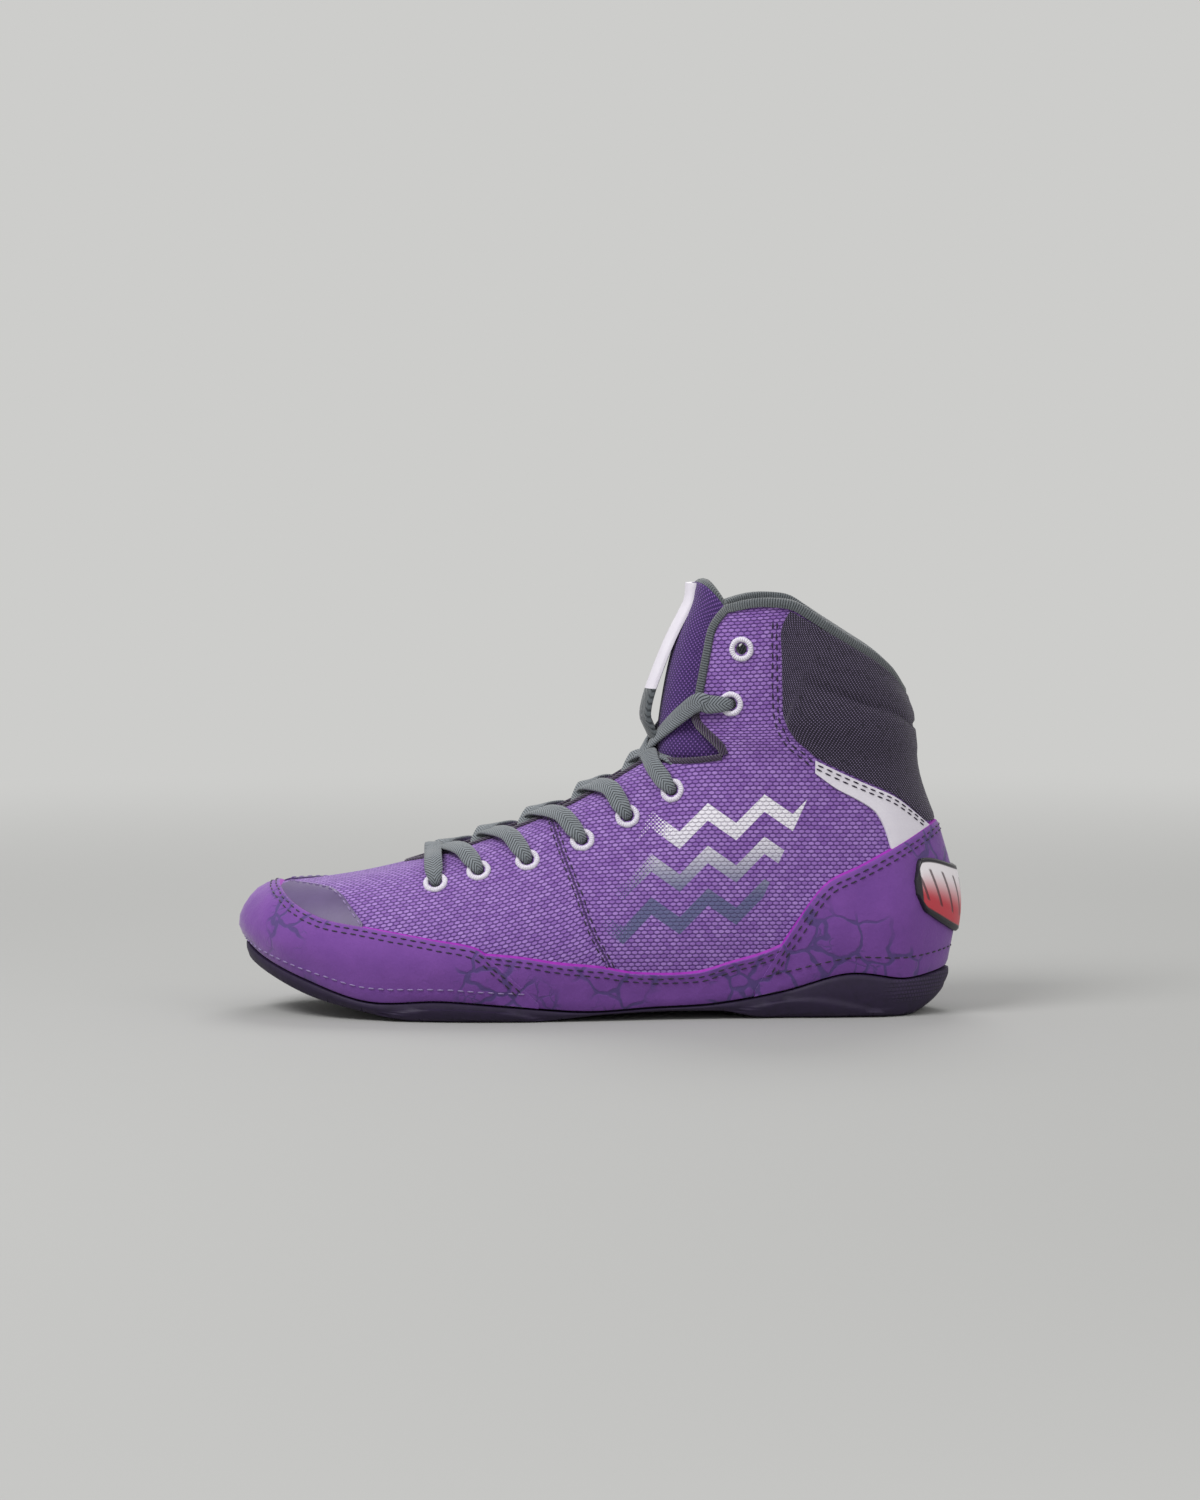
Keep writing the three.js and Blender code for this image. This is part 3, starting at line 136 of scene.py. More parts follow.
SOLE_PROFILE = table("along high inset", [
    [0, 0.10, 0.050], [0.07, 0, 0.040], [0.27, 0, 0.045], [0.33, 0.030, 0.030],
    [0.48, 0.026, 0.020], [0.58, 0, 0.035], [0.75, 0, 0.045], [0.82, 0.032, 0.040],
    [0.90, 0.088, 0.035], [1, 0.215, 0.025],
])

# Cut edges as the side view shows them: along is a share of the length, high of the instep height
TOE_RAND_EDGE = table("along high", [
    [0.558, 0.020], [0.577, 0.070], [0.600, 0.135], [0.643, 0.240], [0.664, 0.280], [0.720, 0.308],
    [0.810, 0.350], [0.872, 0.378], [0.915, 0.430], [0.940, 0.492], [0.975, 0.620],
])
SIDE_RAND_EDGE = table("along high", [
    [0.240, 0.290], [0.273, 0.252], [0.312, 0.222], [0.365, 0.182], [0.445, 0.182],
    [0.498, 0.208], [0.550, 0.222], [0.600, 0.245], [0.664, 0.262],
])
COUNTER_EDGE = table("along high", [
    [0, 0.755], [0.026, 0.742], [0.094, 0.645], [0.139, 0.580], [0.181, 0.525],
    [0.202, 0.465], [0.228, 0.360], [0.254, 0.250], [0.286, 0.100], [0.302, 0.020],
])
STRIPE_TOP = table("along high", [
    [0.040, 0.720], [0.065, 0.785], [0.091, 0.842], [0.125, 0.888], [0.159, 0.932],
    [0.201, 0.990],
])
STRIPE_BOTTOM = table("along high", [
    [0.095, 0.630], [0.101, 0.690], [0.108, 0.742], [0.119, 0.790], [0.143, 0.836],
    [0.173, 0.882], [0.201, 0.940],
])
PATCH_EDGE = table("along high", [
    [0.812, 0.350], [0.834, 0.424], [0.847, 0.464], [0.866, 0.490], [0.925, 0.497],
    [0.950, 0.500],
])
CUFF_FRONT = table("along high", [
    [0.247, 1.50], [0.247, 1.36], [0.246, 1.23], [0.241, 1.13], [0.226, 1.06],
    [0.203, 1.005],
])
EYELETS = table("along high", [
    [0.720, 0.520], [0.661, 0.565], [0.594, 0.605], [0.519, 0.680], [0.457, 0.770],
    [0.396, 0.870], [0.316, 1.205], [0.302, 1.415],
])
# Seam between vamp and quarter
VAMP_SEAM = table("high along", [
    [0.10, 0.470], [0.21, 0.481], [0.34, 0.505], [0.476, 0.523], [0.615, 0.543],
    [0.74, 0.560], [0.95, 0.590],
])

# Creases listed, seen from the side: a line from one spot to another, how far it stands out
# (minus for a trough) and its half width, both in millimetres. Side 0 means both sides.
CREASES = table("side along high to_along to_high stands wide", [
    [0, 0.655, 0.34, 0.640, 0.53, -0.55, 3.2],
    [0, 0.620, 0.30, 0.585, 0.56, 0.45, 4.0],
    [1, 0.575, 0.26, 0.545, 0.48, -0.40, 3.4],
    [0, 0.300, 1.02, 0.215, 0.93, -0.85, 3.6],
    [0, 0.318, 1.12, 0.250, 1.04, 0.60, 4.0],
    [1, 0.345, 0.93, 0.255, 0.80, -0.50, 4.2],
    [-1, 0.355, 0.90, 0.270, 0.76, -0.60, 4.2],
    [0, 0.230, 0.66, 0.160, 0.86, -0.40, 5.0],
    [0, 0.700, 0.335, 0.690, 0.46, 0.30, 4.5],
])


# Places at which a table's curve is worked out
CURVE_SAMPLES = 300


def hermite(a, b, slope_a, slope_b, share):
    """Smooth value between a and b with the slopes given at both."""
    s2 = share * share
    s3 = s2 * share
    return (a * (2 * s3 - 3 * s2 + 1) + slope_a * (s3 - 2 * s2 + share)
            + b * (3 * s2 - 2 * s3) + slope_b * (s3 - s2))


def follow(rows, key, place, value):
    """Smooth value of a column at a place along the rows, held at both ends."""
    last = len(rows) - 1
    if place <= rows[0][key]:
        return rows[0][value]
    if place >= rows[last][key]:
        return rows[last][value]
    i = 0
    while place > rows[i + 1][key]:
        i += 1
    width = rows[i + 1][key] - rows[i][key]

    def slope(j):
        before = rows[max(j - 1, 0)]
        after = rows[min(j + 1, last)]
        return (after[value] - before[value]) / (after[key] - before[key]) * width

    return hermite(rows[i][value], rows[i + 1][value], slope(i), slope(i + 1),
                   (place - rows[i][key]) / width)


def curve_of(rows, key, value):
    """The same curve for whole arrays of places."""
    places = np.linspace(rows[0][key], rows[-1][key], CURVE_SAMPLES)
    values = np.array([follow(rows, key, p, value) for p in places])
    return lambda x: np.interp(x, places, values)


def smoothstep(x, a, b):
    t = np.clip((np.asarray(x, float) - a) / (b - a), 0, 1)
    return t * t * (3 - 2 * t)


def lerp(a, b, share):
    return a + (b - a) * share


def fold(station):
    """Station of the same place on the outer side."""
    k = station % ROUND
    return round(min(k, ROUND - k), 6)


def side_of(station):
    return 1 if station % ROUND <= HEEL else -1


def around(station, read):
    """Smooth value between stations of what read gives for a station's row and side."""
    k = station % ROUND
    i = math.floor(k)
    four = (i - 1, i, i + 1, i + 2)
    before, a, b, after = (read(STATIONS[int(fold(j))], side_of(j)) for j in four)
    return hermite(a, b, (b - before) / 2, (after - a) / 2, k - i)


def plan_y(row, side):
    width = lerp(BALL_WIDTH, HEEL_WIDTH, row["heel"])
    return row["outer"] * width if side > 0 else -row["inner"] * width


@lru_cache(maxsize=None)
def outline(station):
    x = around(station, lambda row, side: row["along"] * SHOE_LENGTH)
    y = around(station, plan_y)
    return np.array([x, y, 0.0])


@lru_cache(maxsize=None)
def outward(station):
    along = outline(station + 0.02) - outline(station - 0.02)
    out = np.array([along[1], -along[0], 0.0])
    return out / np.linalg.norm(out)


def feather_height(station):
    return around(station, lambda row, side: row["feather"] * INSTEP_HEIGHT)


STATION_ROWS = [dict(row, station=i) for i, row in enumerate(STATIONS)]
TOE_LEAN = STATIONS[0]["outer"] * BALL_WIDTH


def ridge_point(station):
    k = min(fold(station), RIDGE_END)
    x = follow(STATION_ROWS, "station", k, "ridge") * SHOE_LENGTH
    z = follow(STATION_ROWS, "station", k, "top") * INSTEP_HEIGHT
    return np.array([x, TOE_LEAN * max(0.0, 1 - k / 4), z])


def leg_point(angle, high, side):
    """Point of the leg at an angle from its back, high 0 at the instep level and 1 at the shaft's."""
    back = follow(LEG_LEVELS, "high", high, "back") * SHOE_LENGTH
    front = follow(LEG_LEVELS, "high", high, "front") * SHOE_LENGTH
    wide = follow(LEG_LEVELS, "high", high, "wide") * ANKLE_WIDTH
    x = (back + front) / 2 - (front - back) / 2 * math.cos(angle)
    y = side * wide * max(math.sin(angle), 0.0) ** LEG_ROUND
    return np.array([x, y, INSTEP_HEIGHT + high * (SHAFT_HEIGHT - INSTEP_HEIGHT)])


@lru_cache(maxsize=None)
def flap_angle(high):
    back = follow(LEG_LEVELS, "high", high, "back") * SHOE_LENGTH
    front = follow(LEG_LEVELS, "high", high, "front") * SHOE_LENGTH
    x = follow(FLAP_EDGE, "high", high, "along") * SHOE_LENGTH
    return math.acos(max(-1.0, min(1.0, ((back + front) / 2 - x) / ((front - back) / 2))))


def round_of(station):
    """Share of the way round the leg: 0 at its back, 1 at the flap's front edge."""
    return (HEEL - fold(station)) / (HEEL - NOTCH)


def top_point(station):
    k = fold(station)
    side = side_of(station)
    if k <= RIDGE_END:
        return ridge_point(station)
    if k >= NOTCH:
        return leg_point(flap_angle(0.0) * round_of(station), 0, side)
    return leg_point(lerp(math.pi, flap_angle(0.0), k - RIDGE_END), 0, side)


# How far up the section its widest place and its shoulder lie, and how full its curves are
WIDEST_UP = 0.22
SHOULDER_UP = 0.62
FOOT_FULL = 1.3
BELLY_FULL = 0.4
TOP_FULL = 1.25


@lru_cache(maxsize=None)
def section(station):
    """Control points and slopes of the foot's section at a station."""
    k = fold(station)
    side = side_of(station)
    out = outward(station)
    wide = outline(station)
    top = top_point(station)
    widest = around(station, lambda row, s: row["widest"] * INSTEP_HEIGHT)
    foot = wide - out * FEATHER_TUCK
    foot[2] = feather_height(station)
    belly = wide.copy()
    belly[2] = widest
    shoulder = lerp(wide, top, follow(STATION_ROWS, "station", k, "inward"))
    shoulder[2] = lerp(widest, top[2], follow(STATION_ROWS, "station", k, "rise"))
    low_slope = (shoulder - foot) * (WIDEST_UP / SHOULDER_UP)
    low_slope[:2] = out[:2] * FEATHER_TUCK * BELLY_FULL
    belly_slope = (shoulder - foot) / SHOULDER_UP
    belly_slope[:2] = out[:2] * FEATHER_TUCK * BELLY_FULL / WIDEST_UP
    shoulder_slope = (top - belly) / (1 - WIDEST_UP)
    width = 1 - SHOULDER_UP
    flat = (top - shoulder) * TOP_FULL / width
    flat[2] = 0
    leg_share = max(0.0, min(1.0, k - RIDGE_END))
    if leg_share > 0:
        edge = flap_angle(0.0)
        angle = edge * round_of(station) if k >= NOTCH else lerp(math.pi, edge, leg_share)
        rising = leg_point(angle, 0.05, side) - leg_point(angle, 0, side)
        rising = rising / np.linalg.norm(rising) * (np.linalg.norm(top - shoulder) / width)
        flat = lerp(flat, rising, leg_share)
    return foot, belly, shoulder, top, low_slope, belly_slope, shoulder_slope, flat


def surface(station, up):
    """The upper's outer face: up 0 at the feather, 1 at the ridge or instep level, 2 at the collar."""
    if up > 1:
        share = max(0.0, min(1.0, round_of(station)))
        high = follow(COLLAR_LINE, "round", share, "high") * (up - 1)
        return leg_point(flap_angle(round(high, 5)) * share, high, side_of(station))
    foot, belly, shoulder, top, low_slope, belly_slope, shoulder_slope, flat = section(station)
    if up <= WIDEST_UP:
        return hermite(foot, belly, (belly - foot) * FOOT_FULL, low_slope, up / WIDEST_UP)
    if up <= SHOULDER_UP:
        width = SHOULDER_UP - WIDEST_UP
        share = (up - WIDEST_UP) / width
        return hermite(belly, shoulder, belly_slope * width, shoulder_slope * width, share)
    width = 1 - SHOULDER_UP
    return hermite(shoulder, top, shoulder_slope * width, flat * width, (up - SHOULDER_UP) / width)


# The face is worked out once on a fine grid and read between its points
GRID_K = 0.0625
GRID_U = 0.02
K_COUNT = int(ROUND / GRID_K)
U_COUNT = int(2 / GRID_U) + 1
FACE = np.array([[surface(round(i * GRID_K, 6), j * GRID_U) for j in range(U_COUNT)]
                 for i in range(K_COUNT)])
STEPS = np.linalg.norm(np.diff(FACE, axis=1), axis=2)
ARC = np.concatenate([np.zeros((K_COUNT, 1)), np.cumsum(STEPS, axis=1)], axis=1)


def read_grid(grid, station, up):
    a = np.mod(np.asarray(station, float), ROUND) / GRID_K
    b = np.clip(np.asarray(up, float), 0, 2) / GRID_U
    a, b = np.broadcast_arrays(a, b)
    i = np.floor(a).astype(int)
    j = np.minimum(np.floor(b).astype(int), U_COUNT - 2)
    s = a - i
    t = b - j
    i0 = i % K_COUNT
    i1 = (i + 1) % K_COUNT
    if grid.ndim == 3:
        s = s[..., None]
        t = t[..., None]
    return ((grid[i0, j] * (1 - s) + grid[i1, j] * s) * (1 - t)
            + (grid[i0, j + 1] * (1 - s) + grid[i1, j + 1] * s) * t)


def skin(station, up):
    return read_grid(FACE, station, up)


def folded(station):
    k = np.mod(np.asarray(station, float), ROUND)
    return np.minimum(k, ROUND - k)


def unit(v):
    return v / np.maximum(np.linalg.norm(v, axis=-1, keepdims=True), 1e-9)


# Rounds of halving in a search for a height on a section
HALVINGS = 24


def face_normal(station, up):
    """Direction out of the upper's face. On the closed ridge both sides share one."""
    station, up = np.broadcast_arrays(np.asarray(station, float), np.asarray(up, float))
    limit = np.where(folded(station) < NOTCH, 0.985, 2.0)

    def one(k):
        u = np.minimum(up, limit)
        rising = skin(k, np.minimum(u + 0.02, limit)) - skin(k, np.maximum(u - 0.02, 0))
        going = skin(k + 0.06, u) - skin(k - 0.06, u)
        return unit(np.cross(going, rising))

    n = one(station)
    shared = (up >= 0.999) & (folded(station) <= THROAT_START + 0.001)
    both = unit(n + one(-station))
    return np.where(shared[..., None], both, n)


def lay_creases():
    """Moves the face in or out along the listed creases; both sides keep meeting at the ridge."""
    kk, uu = np.meshgrid(np.arange(K_COUNT) * GRID_K, np.arange(U_COUNT) * GRID_U, indexing="ij")
    side = np.where(kk <= HEEL, 1, -1)
    moved = np.zeros_like(kk)
    for crease in CREASES:
        a = np.array([crease["along"] * SHOE_LENGTH, crease["high"] * INSTEP_HEIGHT])
        b = np.array([crease["to_along"] * SHOE_LENGTH, crease["to_high"] * INSTEP_HEIGHT])
        from_a = FACE[..., [0, 2]] - a
        share = np.clip(from_a @ (b - a) / np.dot(b - a, b - a), 0, 1)
        apart = np.linalg.norm(from_a - share[..., None] * (b - a), axis=-1)
        depth = crease["stands"] * np.sin(math.pi * np.clip(share, 0.02, 0.98)) ** 0.5
        chosen = (crease["side"] == 0) | (side == crease["side"])
        moved += np.where(chosen, depth * np.exp(-(apart / crease["wide"]) ** 2), 0)
    ends = np.where(folded(kk) < NOTCH, 1.0, 2.0)
    moved *= smoothstep(ends - uu, 0.02, 0.14) * smoothstep(uu, 0.02, 0.12)
    return FACE + face_normal(kk, uu) * moved[..., None]


FACE = lay_creases()


def off_face(station, up, distance):
    distance = np.asarray(distance, float)
    if distance.ndim:
        distance = distance[..., None]
    return skin(station, up) + face_normal(station, up) * distance


def climb(stations, height_at):
    """Up of the place where each section reaches the height that is wanted at its x."""
    low = np.zeros_like(stations)
    high = np.where(folded(stations) < NOTCH, 1.0, 2.0)
    for _ in range(HALVINGS):
        middle = (low + high) / 2
        p = skin(stations, middle)
        above = p[..., 2] > height_at(p[..., 0])
        high = np.where(above, middle, high)
        low = np.where(above, low, middle)
    return (low + high) / 2


def cut_up(stations, edge):
    """Where the sections reach the height that an edge table gives."""
    height = curve_of(edge, "along", "high")
    return climb(np.asarray(stations, float), lambda x: height(x / SHOE_LENGTH) * INSTEP_HEIGHT)


def place_on(along, high, side):
    """Station and up of the place that the side view shows at this spot."""
    x = along * SHOE_LENGTH
    z = high * INSTEP_HEIGHT
    ks = np.arange(0, HEEL + 0.01, 0.1)
    us = np.arange(0, 2.001, 0.02)
    reach_k, reach_u = 0.1, 0.02
    for _ in range(4):  # each round looks in a grid eight times finer
        kk, uu = np.meshgrid(ks, us, indexing="ij")
        p = skin(kk, uu)
        miss = np.hypot(p[..., 0] - x, p[..., 2] - z)
        miss = np.where((kk < NOTCH) & (uu > 1), 1e9, miss)
        i, j = np.unravel_index(np.argmin(miss), miss.shape)
        best_k, best_u = kk[i, j], uu[i, j]
        ks = np.clip(np.linspace(best_k - reach_k, best_k + reach_k, 21), 0, HEEL)
        us = np.clip(np.linspace(best_u - reach_u, best_u + reach_u, 21), 0, 2)
        reach_k /= 8
        reach_u /= 8
    return (best_k if side > 0 else ROUND - best_k), best_u


def meeting(first, second, start, end):
    """Station where one edge crosses another."""
    ks = np.linspace(start, end, 400)
    gap = cut_up(ks, first) - cut_up(ks, second)
    change = np.nonzero(np.diff(np.sign(gap)))[0]
    return ks[change[0]] if len(change) else end


def world(p):
    """Millimetres of the last to metres of the row frame."""
    return (np.asarray(p, float) - [HEEL_REST, 0, 0]) / 1000


# Meshes


def make_object(name, points, faces, materials, slots=None, uvs=None, sharp=40):
    """A closed mesh from points in millimetres. uvs: map name to one pair for each point."""
    mesh = bpy.data.meshes.new(name)
    mesh.from_pydata([tuple(p) for p in world(points)], [], [list(f) for f in faces])
    for material in materials:
        mesh.materials.append(material)
    if slots is not None:
        mesh.polygons.foreach_set("material_index", np.asarray(slots, dtype=np.int32))
    for key, pairs in (uvs or {}).items():
        layer = mesh.uv_layers.new(name=key)
        corner = np.empty(len(mesh.loops), dtype=np.int32)
        mesh.loops.foreach_get("vertex_index", corner)
        layer.data.foreach_set("uv", np.asarray(pairs, float)[corner].ravel())
    work = bmesh.new()
    work.from_mesh(mesh)
    bmesh.ops.remove_doubles(work, verts=work.verts, dist=2e-6)
    bmesh.ops.recalc_face_normals(work, faces=work.faces)
    work.to_mesh(mesh)
    work.free()
    mesh.shade_smooth()
    mesh.set_sharp_from_angle(angle=math.radians(sharp))
    obj = bpy.data.objects.new(name, mesh)
    bpy.context.scene.collection.objects.link(obj)
    return obj


def plain(obj):
    """The object with its modifiers made part of its mesh."""
    graph = bpy.context.evaluated_depsgraph_get()
    mesh = bpy.data.meshes.new_from_object(obj.evaluated_get(graph))
    obj.modifiers.clear()
    obj.data = mesh
    return obj


def smoothed(obj, levels=2):
    modifier = obj.modifiers.new("round", "SUBSURF")
    modifier.levels = levels
    modifier.render_levels = levels
    modifier.boundary_smooth = "PRESERVE_CORNERS"
    plain(obj)
    obj.data.shade_smooth()
    return obj


def dress(obj, nodes=()):
    """The piece rides on the shoe and stands for its CAD nodes."""
    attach(obj, "root")
    if nodes:
        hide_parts(*nodes)
    return obj


def slab(name, outer, inner, materials, edge=0, inside=0, uvs=None):
    """Closed slab between two grids of points.

    edge and inside are the material slots of its rim and its inner face.
    """
    n, m = outer.shape[:2]
    points = np.concatenate([outer.reshape(-1, 3), inner.reshape(-1, 3)])
    faces = []
    slots = []

    def at(layer, i, j):
        return (layer * n + i) * m + j

    for i in range(n - 1):
        for j in range(m - 1):
            faces.append((at(0, i, j), at(0, i + 1, j), at(0, i + 1, j + 1), at(0, i, j + 1)))
            slots.append(0)
            faces.append((at(1, i, j), at(1, i, j + 1), at(1, i + 1, j + 1), at(1, i + 1, j)))
            slots.append(inside)
    for i in range(n - 1):
        faces.append((at(0, i, 0), at(1, i, 0), at(1, i + 1, 0), at(0, i + 1, 0)))
        slots.append(0)
        faces.append((at(0, i, m - 1), at(0, i + 1, m - 1), at(1, i + 1, m - 1), at(1, i, m - 1)))
        slots.append(edge)
    for j in range(m - 1):
        for i in (0, n - 1):
            faces.append((at(0, i, j), at(0, i, j + 1), at(1, i, j + 1), at(1, i, j)))
            slots.append(edge)
    pairs = None
    if uvs:
        pairs = {key: np.concatenate([v.reshape(-1, 2), v.reshape(-1, 2)]) for key, v in uvs.items()}
    return make_object(name, points, faces, materials, slots, pairs)


def tube_faces(rings, around, joined=False):
    """Faces between rings of points that follow each other; joined closes the last on the first."""
    faces = []
    for i in range(rings if joined else rings - 1):
        n = (i + 1) % rings
        for j in range(around):
            k = (j + 1) % around
            faces.append((i * around + j, n * around + j, n * around + k, i * around + k))
    return faces


def tube_ends(rings, around):
    return [tuple(range(around)), tuple((rings - 1) * around + j for j in reversed(range(around)))]


def run_length(path):
    """Length from the start of a path to each of its points."""
    return np.concatenate([[0], np.cumsum(np.linalg.norm(np.diff(path, axis=0), axis=1))])


def edge_shares(count, rim=0.025):
    """Even shares from 0 to 1 with an extra line close to each end, for rounded edges."""
    inner = np.linspace(rim, 1 - rim, count)
    return np.concatenate([[0], inner, [1]])


# Layers on the cloth, in millimetres: how far a cut edge slopes out, how much the face swells,
# how deep the underside sinks in the cloth, and the share of the thickness left at the edges
CUT_SLOPE = 1.3
SWELL = 0.22
SUNK = 0.5
EDGE_SHARE = 0.72


def overlay(name, stations, lower, upper, thickness, materials, rows=8, edge=1):
    """A layer on the upper between two edges given as up for each station; edge 1 has a cut edge."""
    shares = edge_shares(rows)
    ups = lower[:, None] + (upper - lower)[:, None] * shares[None]
    ks = np.repeat(stations[:, None], len(shares), axis=1)
    ends = np.ones(len(shares))
    ends[0] = ends[-1] = EDGE_SHARE
    thick = thickness * ends[None] * np.ones_like(ups)
    inside = np.sin(math.pi * np.clip((shares - 0.02) / 0.96, 0, 1))[None] ** 0.5
    # two waves of unlike lengths, so the swell doesn't repeat
    swell = np.sin(ks * 7.3 + ups * 11.0) * 0.6 + np.sin(ks * 17.1 - ups * 19.0 + 1.3) * 0.4
    outer = off_face(ks, ups, thick + edge * SWELL * swell * inside)
    # the cut edge slopes out to the cloth, so it shows as a thin line
    under = ups.copy()
    under[:, -1] += edge * CUT_SLOPE / read_grid(ARC, ks[:, -1], 1.0)
    inner = off_face(ks, under, np.full_like(ups, -SUNK))
    return slab(name, outer, inner, materials, edge=edge, uvs={"weave": side_uv(ks, ups)})


def side_uv(ks, ups):
    """Millimetres along the shoe and up the section: rows lie level on the quarter."""
    rows = ARC + FACE[:, :1, 2]
    return np.stack([skin(ks, ups)[..., 0], read_grid(rows, ks, ups)], axis=-1)


def vamp_uv(ks, ups):
    """Millimetres along the shoe and down from the ridge: rows follow the ridge."""
    above = read_grid(ARC, ks, ups) - read_grid(ARC, ks, 1.0)
    return np.stack([skin(ks, ups)[..., 0], above], axis=-1)


def sweep(name, path, normals, profile, materials, chosen=None):
    """Sweeps a closed profile of (off, out) pairs, one list for each place, along a path.

    chosen says for each place whether its faces take the second material.
    """
    count = len(path)
    going = unit(np.gradient(path, axis=0))
    normals = unit(normals)
    off = unit(np.cross(normals, going))
    out = np.cross(going, off)
    rings = path[:, None] + off[:, None] * profile[..., :1] + out[:, None] * profile[..., 1:]
    m = profile.shape[1]
    part = np.zeros(count - 1, int) if chosen is None else np.asarray(chosen[:-1], int)
    slots = np.concatenate([np.repeat(part, m), part[[0, -1]]])
    length = np.repeat(run_length(path)[:, None], m, axis=1)
    across = np.array([run_length(section) for section in profile])
    uvs = {"weave": np.stack([length, across], axis=-1).reshape(-1, 2)}
    faces = tube_faces(count, m) + tube_ends(count, m)
    return make_object(name, rings.reshape(-1, 3), faces, materials, slots, uvs, sharp=60)


# Materials. A noise or cell scale counts features in a metre: 1000 / scale is a feature's millimetres.

MATH = "ShaderNodeMath"
RANGE = "ShaderNodeMapRange"
MIX = "ShaderNodeMix"
NOISE = "ShaderNodeTexNoise"
BUMP = "ShaderNodeBump"
SPLIT = "ShaderNodeSeparateXYZ"
JOIN = "ShaderNodeCombineXYZ"
UV = "ShaderNodeUVMap"
SMOOTH = {"interpolation_type": "SMOOTHSTEP"}
# The Mix node's colours are its inputs 6 and 7 and its output 2
COLOURS = {"out": 2, "data_type": "RGBA"}
# Keeps a folded pattern's coordinate above zero over the whole shoe
WELL_ABOVE = 900.0
MILLIMETRES = 1000.0


def linear(text):
    """sRGB hex to linear colour."""
    parts = [int(text[i:i + 2], 16) / 255 for i in (1, 3, 5)]
    return tuple(c / 12.92 if c <= 0.04045 else ((c + 0.055) / 1.055) ** 2.4 for c in parts) + (1.0,)


def put(tree, kind, *values, out=0, **settings):
    """Adds a node with its settings and links, and returns its output out, or itself for None.

    values are its first inputs in order, or one dict of inputs by name or number. Each is a
    number, a hex colour or another node's output.
    """
    node = tree.nodes.new(kind)
    for key, value in settings.items():
        setattr(node, key, value)
    inputs = values[0] if values and isinstance(values[0], dict) else dict(enumerate(values))
    for key, value in inputs.items():
        if isinstance(value, bpy.types.NodeSocket):
            tree.links.new(value, node.inputs[key])
        else:
            node.inputs[key].default_value = linear(value) if isinstance(value, str) else value
    return node if out is None else node.outputs[out]


def start(name, roughness=0.8, specular=0.35, sheen=0.0, coat=0.0):
    """A new material, its tree, its shader and the piece's Object coordinates."""
    material = bpy.data.materials.new(name)
    material.use_nodes = True
    tree = material.node_tree
    shader = tree.nodes["Principled BSDF"]
    finish = {"Roughness": roughness, "Specular IOR Level": specular, "Sheen Weight": sheen,
              "Sheen Roughness": 0.45, "Coat Weight": coat, "Coat Roughness": 0.35}
    for key, value in finish.items():
        shader.inputs[key].default_value = value
    return material, tree, shader, put(tree, "ShaderNodeTexCoord", out="Object")


def finish_with(tree, shader, colour, normal):
    tree.links.new(colour, shader.inputs["Base Color"])
    tree.links.new(normal, shader.inputs["Normal"])


def cracks(tree, vector, scale, width):
    """1 on the lines between cells of an uneven net, 0 inside them."""
    warp = put(tree, NOISE, {"Vector": vector, "Scale": scale * 1.7, "Detail": 1.0}, out="Color")
    moved = put(tree, "ShaderNodeVectorMath", {0: warp, "Scale": 0.5 / scale}, operation="SCALE")
    place = put(tree, "ShaderNodeVectorMath", vector, moved, operation="ADD")
    apart = put(tree, "ShaderNodeTexVoronoi", {"Vector": place, "Scale": scale}, out="Distance",
                feature="DISTANCE_TO_EDGE")
    return put(tree, RANGE, apart, width, width * 0.4, **SMOOTH)


def floats_of(tree, vector, width, height):
    """Staggered rounded floats of a weave: 1 on a float and 0 in the gaps, and a random tone for each."""
    parts = put(tree, SPLIT, vector, out=None).outputs
    v = put(tree, MATH, parts[1], height, operation="DIVIDE")
    row = put(tree, MATH, v, operation="FLOOR")
    odd = put(tree, MATH, row, 2.0, operation="FLOORED_MODULO")
    straight = put(tree, MATH, parts[0], width, operation="DIVIDE")
    half = put(tree, MATH, odd, 0.5, operation="MULTIPLY")
    u = put(tree, MATH, straight, half, operation="ADD")
    column = put(tree, MATH, u, operation="FLOOR")
    far = []
    for value, cell, power in ((u, column, 2.2), (v, row, 2.0)):
        within = put(tree, MATH, value, cell, operation="SUBTRACT")
        aside = put(tree, MATH, within, 0.5, operation="SUBTRACT")
        share = put(tree, MATH, aside, 2.0, operation="MULTIPLY")
        size = put(tree, MATH, share, operation="ABSOLUTE")
        far.append(put(tree, MATH, size, power, operation="POWER"))
    from_middle = put(tree, MATH, *far, operation="ADD")
    cell = put(tree, JOIN, column, row)
    tone = put(tree, "ShaderNodeTexWhiteNoise", {"Vector": cell}, out="Value", noise_dimensions="2D")
    return put(tree, RANGE, from_middle, 1.25, 0.30, **SMOOTH), tone


# Zigzag print on the quarter, in millimetres of the row frame
PRINT_X = 57.5
PRINT_Z = 59.5
PRINT_HALF_WIDTH = 29.5
PRINT_HALF_HEIGHT = 24.6
PRINT_SLOPE = 0.16
PRINT_LEAN = 0.45
ZIGZAG_HALF_PITCH = 11.0
ZIGZAG_STEEP = 0.85
BAND_HALF_PITCH = 8.2
DOT_HALF_PITCH = 0.75


